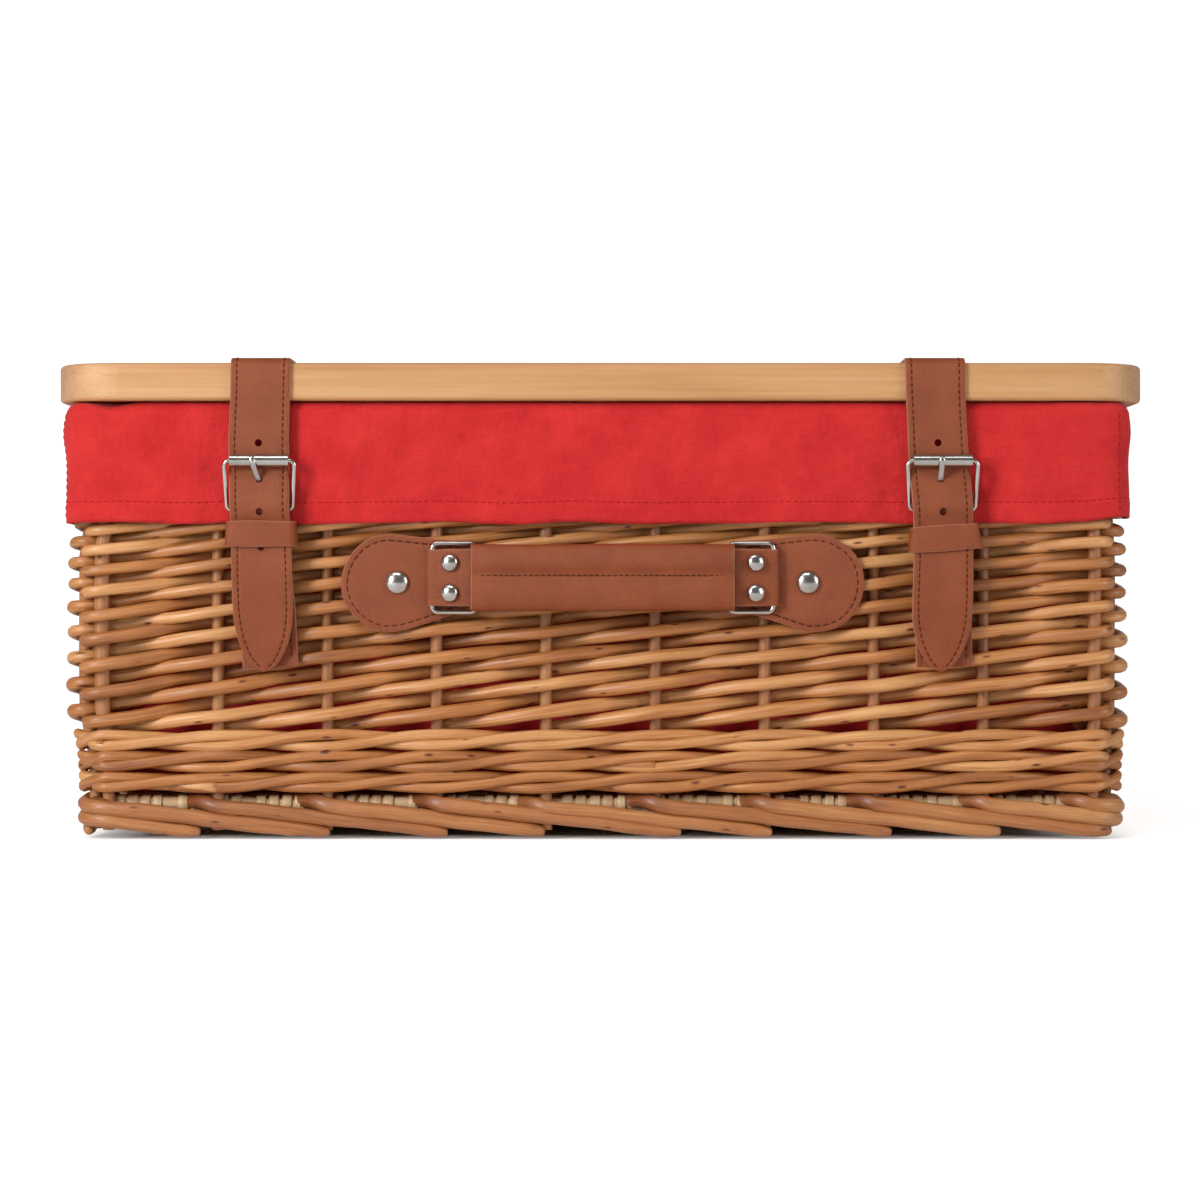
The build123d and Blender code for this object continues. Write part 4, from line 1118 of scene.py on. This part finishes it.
GRIP_FRONT = 176.05
GRIP_HALF_HEIGHT = 14.6
GRIP_LEATHER = 1.2
SEAM_UP = 0.9                  # the sleeve's sewn seam above the middle of the grip
SEAM_DEPTH = 1.7


def smoothed_outline(corners, spacing, passes):
    """Closed outline through corners, evenly spaced and softened."""
    closed = np.vstack([corners, corners[:1]])
    total = reach_along(closed)[-1]
    points = at_distances(closed, np.linspace(0, total, int(total / spacing), endpoint=False))
    for _ in range(passes):
        points = 0.5 * points + 0.25 * (np.roll(points, 1, axis=0) + np.roll(points, -1, axis=0))
    return points


def add_level_strip(builder, side, corners, bend, spacing, width, waver=0.0):
    """Leather strip of the handle at one level, through corners given as (sideways, outwards)."""
    section = rounded_path(corners, bend, spacing)
    path = np.column_stack([HANDLE_X + side * section[:, 0], -section[:, 1], np.full(len(section), HANDLE_Z)])
    travel = directions(path)
    facing = np.column_stack([travel[:, 1], -travel[:, 0], np.zeros(len(path))])
    widths = width + waver * np.sin(reach_along(path) / 6.0)
    add_strip(builder, path, facing, widths, LOOP_THICKNESS, grooved=True)


def write_patch(side, side_name):
    """Rounded leather patch riveted to the wall, looped round the ring's inner bar."""
    middle_x, middle_z, radius = PATCH_ROUND
    neck_x, neck_bottom, neck_top = PATCH_NECK
    turn = np.linspace(0, 2 * np.pi, 72, endpoint=False)
    egg = np.column_stack([side * middle_x + radius * np.cos(turn), middle_z + radius * np.sin(turn)])
    neck = np.array([[side * neck_x, neck_top], [side * neck_x, neck_bottom]])
    points = np.vstack([egg, neck]) + (HANDLE_X, 0)
    hull = points[convex_hull_2d([tuple(p) for p in points])]
    outline = smoothed_outline(hull, 1.5, 4)
    outline = outline + 0.12 * np.sin(np.arange(len(outline))[:, None] / 4.0 + (0.0, 1.7))
    travel = unit(np.roll(outline, -1, axis=0) - np.roll(outline, 1, axis=0))
    inward = np.column_stack([-travel[:, 1], travel[:, 0]])
    inward *= np.sign(((outline.mean(axis=0) - outline) * inward).sum())

    def warp(points):
        return PATCH_LIFT * np.sin(points[:, 0] / 11.0 + points[:, 1] / 8.0)

    half = PATCH_THICKNESS / 2
    steps = [(0.5, -1.0), (0.0, -0.35), *STRIP_EDGE, *STRIP_GROOVE[:3], (5.5, 1.0)]
    rings = []
    for inset, level in steps:
        place = outline + inward * inset
        out = PATCH_BACK + half + level * half + warp(outline) + PATCH_LIFT
        rings.append(np.column_stack([place[:, 0], -out, place[:, 1]]))
    count = len(outline)
    points = np.vstack(rings)
    is_cut = np.isin(np.arange(len(steps)), (1, 2, 3))
    patch = Builder()
    patch.add(points, tube_faces(len(rings), count), points, np.repeat(is_cut, count))
    bar_x, bar_out = RING_INNER
    loop = [(bar_x + 9, PATCH_BACK + 2.9), (bar_x + 1, bar_out + 1.9), *arc(RING_INNER, 1.9, 0.5, 1.5, 9),
            (bar_x + 1, bar_out - 1.9), (bar_x + 9, PATCH_BACK + 1.0)]
    add_level_strip(patch, side, loop, 1.0, 1.0, LOOP_WIDTH)
    patch.write(f"{side_name}_handle_patch_leather", leather, "basket", "tan_leather",
                (f"{side_name}_handle_patch",))
    seam = outline + inward * STITCH_INSET
    seam = np.roll(seam, -int(np.argmin(side * seam[:, 0])), axis=0)
    out = PATCH_BACK + PATCH_THICKNESS + 0.25 + warp(seam)
    line = np.column_stack([seam[:, 0], -out, seam[:, 1]])
    sewing = Builder()
    add_stitches(sewing, line[side * (line[:, 0] - HANDLE_X) > 60], (0, -1, 0), 3.6)
    sewing.write(f"{side_name}_handle_patch_stitches", brown_thread, "basket", "tan_leather")


def write_tab(side, side_name):
    """Folded leather tab that joins one end of the grip to its ring."""
    bar_x, bar_out = RING_OUTER
    fold = [(18.0, 168.4), (58.0, 168.4), (bar_x - 2.0, bar_out - 1.9), *arc(RING_OUTER, 1.95, -0.5, 0.5, 11),
            (bar_x - 2.0, bar_out + 2.1), (58.0, 170.0), (18.0, 170.0)]
    tab = Builder()
    add_level_strip(tab, side, fold, 1.4, 1.2, TAB_WIDTH, 0.3)
    tab.write(f"{side_name}_handle_strap_leather", leather, f"handle_{side_name}_half", "tan_leather",
              (f"{side_name}_handle_strap",))


def grip_section(thickness):
    """Section of the sleeve as (out, height): flat at the back, two soft lobes at the front."""
    turn = np.linspace(0, 2 * np.pi, 721)
    round_height = np.sign(np.sin(turn)) * abs(np.sin(turn))**0.62
    round_out = np.sign(np.cos(turn)) * abs(np.cos(turn))**0.55
    height = (GRIP_HALF_HEIGHT - thickness) * round_height
    puff = np.where(round_out > 0, 1.0, 0.55)
    out = GRIP_BACK + 4.1 + puff * round_out * (5.6 - thickness)
    valley = SEAM_DEPTH * near(height, SEAM_UP, 3.4) * np.clip(round_out * 2, 0, 1)
    outline = np.column_stack([out - valley, height])
    length = reach_along(outline)[-1]
    return at_distances(outline, np.linspace(0, length, 96, endpoint=False))


def write_sleeve():
    """Padded leather sleeve of the grip, open at both ends."""
    stations = np.concatenate([[-GRIP_HALF, -GRIP_HALF + 0.5], np.arange(-55, 56, 2.0),
                               [GRIP_HALF - 0.5, GRIP_HALF]])
    flat_back = GRIP_BACK + 0.6
    rings = []
    grain = []
    for section, places in ((grip_section(0.0), stations), (grip_section(GRIP_LEATHER), stations[::-1])):
        for x in places:
            along = np.full(len(section), x)
            swell = 0.90 + 0.10 * fade(GRIP_HALF - abs(x), 0, 9) + 0.012 * np.sin(x / 7.0)
            out = flat_back + (section[:, 0] - flat_back) * swell
            height = section[:, 1] * (1 + 0.010 * np.sin(x / 12.0 + 1)) + 0.15 * np.sin(x / 17.0)
            rings.append(np.column_stack([HANDLE_X + along, -out, HANDLE_Z + height]))
            grain.append(np.column_stack([section[:, 1], section[:, 0], along]))
    last = len(stations) - 1
    is_cut = np.zeros(len(rings))
    is_cut[[0, last, last + 1, -1]] = 1.0
    sides = len(rings[0])
    sleeve = Builder()
    sleeve.add(np.vstack(rings), tube_faces(len(rings), sides, closed=True), np.vstack(grain),
               np.repeat(is_cut, sides))
    return sleeve.write("handle_sleeve", leather, None, "tan_leather",
                        ("left_handle_sleeve", "right_handle_sleeve"))


def write_grip():
    """Sleeve of the grip, the stitches of its lapped front and its padding."""
    sleeve = write_sleeve()
    sewing = Builder()
    along = np.arange(-53.5, 54, 1.0)
    seam_out = GRIP_FRONT - SEAM_DEPTH - 0.9 * fade(abs(along), 46, 9)
    line = np.column_stack([HANDLE_X + along, -seam_out, np.full(len(along), HANDLE_Z + SEAM_UP)])
    add_stitches(sewing, line, (0, -1, 0), 2.6, 0.3)
    seam = sewing.write("handle_seam_stitches", brown_thread, None, "tan_leather")
    padding = Builder()
    x = HANDLE_X + np.arange(-55, 55.5, 2.5)
    core = np.column_stack([x, np.full(len(x), -171.4), np.full(len(x), HANDLE_Z)])
    add_strip(padding, core, (0, -1, 0), 23.0, 2.6)
    filler = padding.write("handle_padding", wadding, None, "padding",
                           ("left_handle_filler", "right_handle_filler"))
    for piece in (sleeve, seam, filler):
        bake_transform(piece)


SIDES = ((-1, "left"), (1, "right"))
for side, side_name in SIDES:
    write_patch(side, side_name)
for side, side_name in SIDES:
    write_tab(side, side_name)
write_grip()
patch_x, patch_out, patch_z = PATCH_RIVET_PLACE
write_rivets("patch_rivet_heads", "basket",
             [(HANDLE_X + side * patch_x, -patch_out, patch_z) for side, _ in SIDES], (0, -1, 0), PATCH_RIVET)
tab_x, tab_out, tab_up = TAB_RIVET_PLACE
for side, side_name in SIDES:
    write_rivets(f"{side_name}_tab_rivet_heads", f"handle_{side_name}_half",
                 [(HANDLE_X + side * tab_x, -tab_out, HANDLE_Z + up) for up in (-tab_up, tab_up)],
                 (side * 0.2, -1, 0), TAB_RIVET)

# ---- Cloth liner --------------------------------------------------------------------------
CLOTH = 0.8
CUFF_HALF_LENGTH = 230.0
CUFF_HALF_DEPTH = 160.0
CUFF_CORNER = 10.0
CUFF_OUT = 1.75                # the cuff's middle layer outside the wicker's face
CUFF_BOTTOM = 138.2
HEM = 8.6
CUFF_FLARE = (1.5, -0.7)       # how far the cuff stands off the left and right end walls
CUFF_BULGE = (1.8, 1.5)        # and how much further a little below the rim
RIGHT_PUCKER = 2.6             # gathered cloth at the front's top right corner
RIGHT_HEM_RISE = 3.0
LEFT_DROOP = 2.2
CUFF_STITCH_PITCH = 3.1
CUFF_CORNER_SEAMS = ((227, -163), (229, 162), (-229, 162), (-232, -152))
BAG_HALF_LENGTH = 208.0
BAG_HALF_DEPTH = 138.0
BAG_CORNER = 7.0
BAG_SPREAD = 4.3               # the bag widens towards its mouth
BAG_FLOOR = 20.4
BAG_MOUTH = 178.0
BAG_SEAM_INSET = 4.2
FLOOR_RIPPLE_LENGTH = 424.0
RIPPLES = 14                   # waves that add up to one set of ripples
REAR_CORNER = 27               # of a rounded outline's points, where a cloth tube is joined


def sheet_normals(grid):
    """Direction across the sheet at each point of a grid."""
    return unit(np.cross(np.gradient(grid, axis=0), np.gradient(grid, axis=1)))


def add_sheet(builder, grid, across, along):
    """Cloth of an even thickness over a grid of points."""
    lift = sheet_normals(grid) * CLOTH / 2
    rows, columns = grid.shape[:2]
    grain = np.stack([*np.broadcast_arrays(across, 0.0, along)], axis=-1).reshape(-1, 3)
    number = np.arange(rows * columns).reshape(rows, columns)
    quads = np.stack([number[:-1, :-1], number[:-1, 1:], number[1:, 1:], number[1:, :-1]], axis=-1)
    quads = quads.reshape(-1, 4)
    under = rows * columns
    faces = quads.tolist() + (quads[:, ::-1] + under).tolist()
    for rim in (number[:, 0], number[:, -1], number[0, :], number[-1, :]):
        faces += np.stack([rim[:-1], rim[1:], rim[1:] + under, rim[:-1] + under], axis=-1).tolist()
    points = np.vstack([(grid + lift).reshape(-1, 3), (grid - lift).reshape(-1, 3)])
    builder.add(points, faces, np.vstack([grain, grain]), 0.0)


def ripples(distance, total, height, finest, tilt):
    """Soft irregular waves round a closed outline, about one unit high."""
    value = np.zeros(np.broadcast(distance, height).shape)
    for _ in range(RIPPLES):
        turns = rng.integers(5, finest) * 2 * np.pi / total
        slope = rng.normal(0, tilt)
        value = value + np.sin(distance * turns + slope * height + rng.uniform(0, 6.3))
    return value / RIPPLES**0.5


def ring_places(half_length, half_depth, corner, spacing):
    """Even places round an outline: as distances, as positions in its points, and its length."""
    reach, points = rounded_outline(half_length, half_depth, corner)
    total = reach[-1]
    distance = np.linspace(0, total, int(total / spacing))
    return distance, np.interp((distance + reach[REAR_CORNER]) % total, reach, np.arange(len(points))), total


def ring_layer(half_length, half_depth, corner, places):
    """One level of a cloth tube: points and outward directions at places round it."""
    points = rounded_outline(half_length, half_depth, corner)[1]
    return placed_on(places, np.arange(len(points)), points)


def cuff_push(layer, height, ripple, turned_down):
    """How far the cuff stands off its smooth shape at one height: pressed flat under the straps."""
    x, y = layer.T
    flare = np.where(x < 0, *CUFF_FLARE) + np.where(x < 0, *CUFF_BULGE) * near(height, 179, 9)
    push = ripple + turned_down * flare * fade(abs(x), 207, 24)**1.5
    for strap in STRAP_X.values():
        free = fade(abs(x - strap), 14, 14)
        push = push * free + np.minimum(push, -0.1) * (1 - free)
    return push + turned_down * RIGHT_PUCKER * near(x, 207, 11) * near(height, 188, 5) * (y < 0)


def write_cuff():
    """Band of the liner turned down over the rim, hemmed, sewn and a little rumpled."""
    distance, places, total = ring_places(CUFF_HALF_LENGTH, CUFF_HALF_DEPTH, CUFF_CORNER, 2.6)
    inside = [(-WALL - 2.2, z) for z in np.linspace(172, 186, 6)]
    over = [(-WALL - 1.6, 189.0), (-WALL, 190.4), (-8.0, 190.9), (-3.0, 190.9), (-0.4, 190.4), (1.0, 188.9)]
    down = [(CUFF_OUT, z) for z in np.linspace(187.0, CUFF_BOTTOM + HEM + 0.6, 17)]
    hem = [(CUFF_OUT + 0.3, z) for z in np.linspace(CUFF_BOTTOM + HEM - 0.8, CUFF_BOTTOM, 5)]
    profile = np.array(inside + over + down + hem)
    heights = profile[:, 1]
    slow = ripples(distance[:, None], total, heights[None, :], 26, 0.03)
    fine = ripples(distance[:, None], total, heights[None, :], 95, 0.10)
    sag = ripples(distance, total, 0.0, 34, 0.0)
    hang = fade(-heights, -187, 12) * (np.arange(len(profile)) >= len(inside))
    ripple = (0.85 * slow + 0.33 * fine + 0.35) * hang
    grid = np.empty((len(distance), len(profile), 3))
    for column, (out, height) in enumerate(profile):
        corner = max(CUFF_CORNER + out, 5.0)
        layer, normal = ring_layer(CUFF_HALF_LENGTH + out, CUFF_HALF_DEPTH + out, corner, places)
        turned_down = column >= len(inside) + 3
        push = cuff_push(layer, height, ripple[:, column], turned_down)
        hem_rise = 0.45 * sag + RIGHT_HEM_RISE * fade(layer[:, 0], 212, 16)
        droop = LEFT_DROOP * near(layer[:, 0], -214, 8) * (layer[:, 1] < 0) * near(height, 190, 8)
        grid[:, column, :2] = layer + normal * push[:, None]
        grid[:, column, 2] = height + (hem_rise * fade(-height, -160, 20) - droop) * turned_down
    cuff = Builder()
    add_sheet(cuff, grid, distance[:, None], reach_along(profile)[None, :])
    cuff.write("liner_cuff_cloth", cotton, "basket", "red_cloth", ("liner_cuff",))
    normal = sheet_normals(grid)
    outwards = normal * np.sign((normal[..., :2] * grid[..., :2]).sum(axis=-1))[..., None]
    surface = grid + outwards * CLOTH / 2
    hem_seam = len(profile) - len(hem) - 1
    sewing = Builder()
    add_stitches(sewing, surface[:, hem_seam], outwards[:, hem_seam], CUFF_STITCH_PITCH, 0.2)
    first = len(inside) + len(over)
    for x, y in CUFF_CORNER_SEAMS:
        row = int(np.argmin(np.hypot(grid[:, -1, 0] - x, grid[:, -1, 1] - y)))
        add_stitches(sewing, surface[row, first:], outwards[row, first:], CUFF_STITCH_PITCH, 0.22)
    sewing.write("liner_cuff_stitches", red_thread, "basket", "red_cloth")


def write_bag():
    """Cloth bag inside the wicker: walls with corner seams, and a floor."""
    distance, places, total = ring_places(BAG_HALF_LENGTH, BAG_HALF_DEPTH, BAG_CORNER, 4.0)
    heights = np.linspace(BAG_FLOOR + 0.6, BAG_MOUTH, 40)
    slow = ripples(distance[:, None], total, heights[None, :], 30, 0.03)
    fine = ripples(distance[:, None], total, heights[None, :], 90, 0.08)
    push = np.minimum(0.9 * slow + 0.4 * fine - 0.6, 0.2)
    grid = np.empty((len(distance), len(heights), 3))
    for column, height in enumerate(heights):
        spread = BAG_SPREAD * fade(height, 110, 50)
        layer, normal = ring_layer(BAG_HALF_LENGTH + spread, BAG_HALF_DEPTH + spread, BAG_CORNER, places)
        grid[:, column, :2] = layer + normal * push[:, column, None]
        grid[:, column, 2] = height
    bag = Builder()
    add_sheet(bag, grid, distance[:, None], heights[None, :])
    x = np.linspace(-BAG_HALF_LENGTH, BAG_HALF_LENGTH, 96)[:, None]
    y = np.linspace(-BAG_HALF_DEPTH, BAG_HALF_DEPTH, 64)[None, :]
    inner = np.minimum(1, np.minimum(BAG_HALF_LENGTH - abs(x), BAG_HALF_DEPTH - abs(y)) / 30)
    waves = ripples(x, FLOOR_RIPPLE_LENGTH, y, 9, 0.05)
    floor = BAG_FLOOR + 0.4 + 0.7 * (1 + np.clip(waves, -1, 1.5)) * inner
    add_sheet(bag, np.stack(np.broadcast_arrays(x, y, floor), axis=-1), x, y)
    bag.write("liner_bag_cloth", cotton, "basket", "red_cloth", ("liner_walls", "liner_floor"))
    sewing = Builder()
    height = np.linspace(26, 172, 60)
    for side_x, side_y in ((-1, -1), (-1, 1), (1, -1), (1, 1)):
        x = np.full_like(height, side_x * (BAG_HALF_LENGTH - BAG_SEAM_INSET))
        y = np.full_like(height, side_y * (BAG_HALF_DEPTH - BAG_SEAM_INSET))
        add_stitches(sewing, np.column_stack([x, y, height]), (-side_x, -side_y, 0), 3.4, 0.3)
    sewing.write("liner_bag_stitches", red_thread, "basket", "red_cloth")


write_cuff()
write_bag()

# ---- Finishes of the pieces carried over from the part ------------------------------------
for name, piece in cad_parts.items():
    piece.data.materials.clear()
    piece.data.materials.append(pine if name == "lid_board" else nickel)

# ---- Stage, light and camera --------------------------------------------------------------
VIEW_X = -0.2
VIEW_HEIGHT = 104.7
VIEW_DISTANCE = 1500.0
FRAME_WIDTH = 523.7            # width that the camera sees at the hamper's front
SENSOR = 36.0
STAGE_FRONT = 9.0              # the studio floor, in metres
STAGE_BACK = 1.4
STAGE_CURVE = 0.8
STAGE_HEIGHT = 4.0
SHADED_FLOOR = (0.19, 0.12)    # half sizes of the floor under the hamper that doesn't glow
LIGHT_TARGET = (0, 0, 0.1)
BOUNCED_AIR = 0.12             # brightness of the studio's air for light that has left a surface


def add_to_stage(name, data):
    """New stage object."""
    made = bpy.data.objects.new(name, data)
    bpy.context.scene.collection.objects.link(made)
    return made


def write_stage():
    """Pale floor that curves up into a backdrop."""
    profile = [(-STAGE_FRONT, 0.0), (STAGE_BACK, 0.0),
               *arc((STAGE_BACK, STAGE_CURVE), STAGE_CURVE, 0.1 / np.pi - 0.5, 0.0, 12),
               (STAGE_BACK + STAGE_CURVE, STAGE_HEIGHT)]
    points = [(x, y, z) for y, z in profile for x in (-STAGE_FRONT, STAGE_FRONT)]
    faces = [(2 * n, 2 * n + 1, 2 * n + 3, 2 * n + 2) for n in range(len(profile) - 1)]
    mesh = bpy.data.meshes.new("studio_floor")
    mesh.from_pydata(points, [], faces)
    mesh.polygons.foreach_set("use_smooth", np.ones(len(faces), bool))
    mesh.materials.append(paper_material(*SHADED_FLOOR))
    add_to_stage("studio_floor", mesh)


def add_light(name, place, size, power):
    """Soft rectangular studio light aimed at the hamper, in metres and watts."""
    lamp = bpy.data.lights.new(name, "AREA")
    lamp.shape = "RECTANGLE"
    lamp.size, lamp.size_y = size
    lamp.energy = power
    holder = add_to_stage(name, lamp)
    holder.location = place
    holder.rotation_euler = (Vector(LIGHT_TARGET) - Vector(place)).to_track_quat("-Z", "Y").to_euler()


write_stage()
add_light("key_light", (-1.35, -1.55, 0.75), (0.6, 0.9), 31)
add_light("fill_light", (1.7, -1.1, 0.6), (0.7, 1.0), 13)
add_light("top_light", (-0.3, -1.1, 1.7), (1.4, 0.5), 8)

air = Nodes(bpy.data.worlds.new("studio_air"), "Background")
air.finish(Color=WHITE, Strength=air.ranged(air.camera_ray(), BOUNCED_AIR, 1.0))
bpy.context.scene.world = air.block
bpy.context.scene.view_settings.view_transform = "Standard"

camera = bpy.data.cameras.new("camera")
camera.sensor_width = SENSOR
camera.lens = SENSOR * VIEW_DISTANCE / FRAME_WIDTH
viewer = bpy.data.objects.new("camera", camera)
viewer.location = to_frame((VIEW_X, -WICKER_DEPTH / 2 - VIEW_DISTANCE, VIEW_HEIGHT))
viewer.rotation_euler = (np.pi / 2, 0, 0)
bpy.context.scene.collection.objects.link(viewer)
bpy.context.scene.camera = viewer
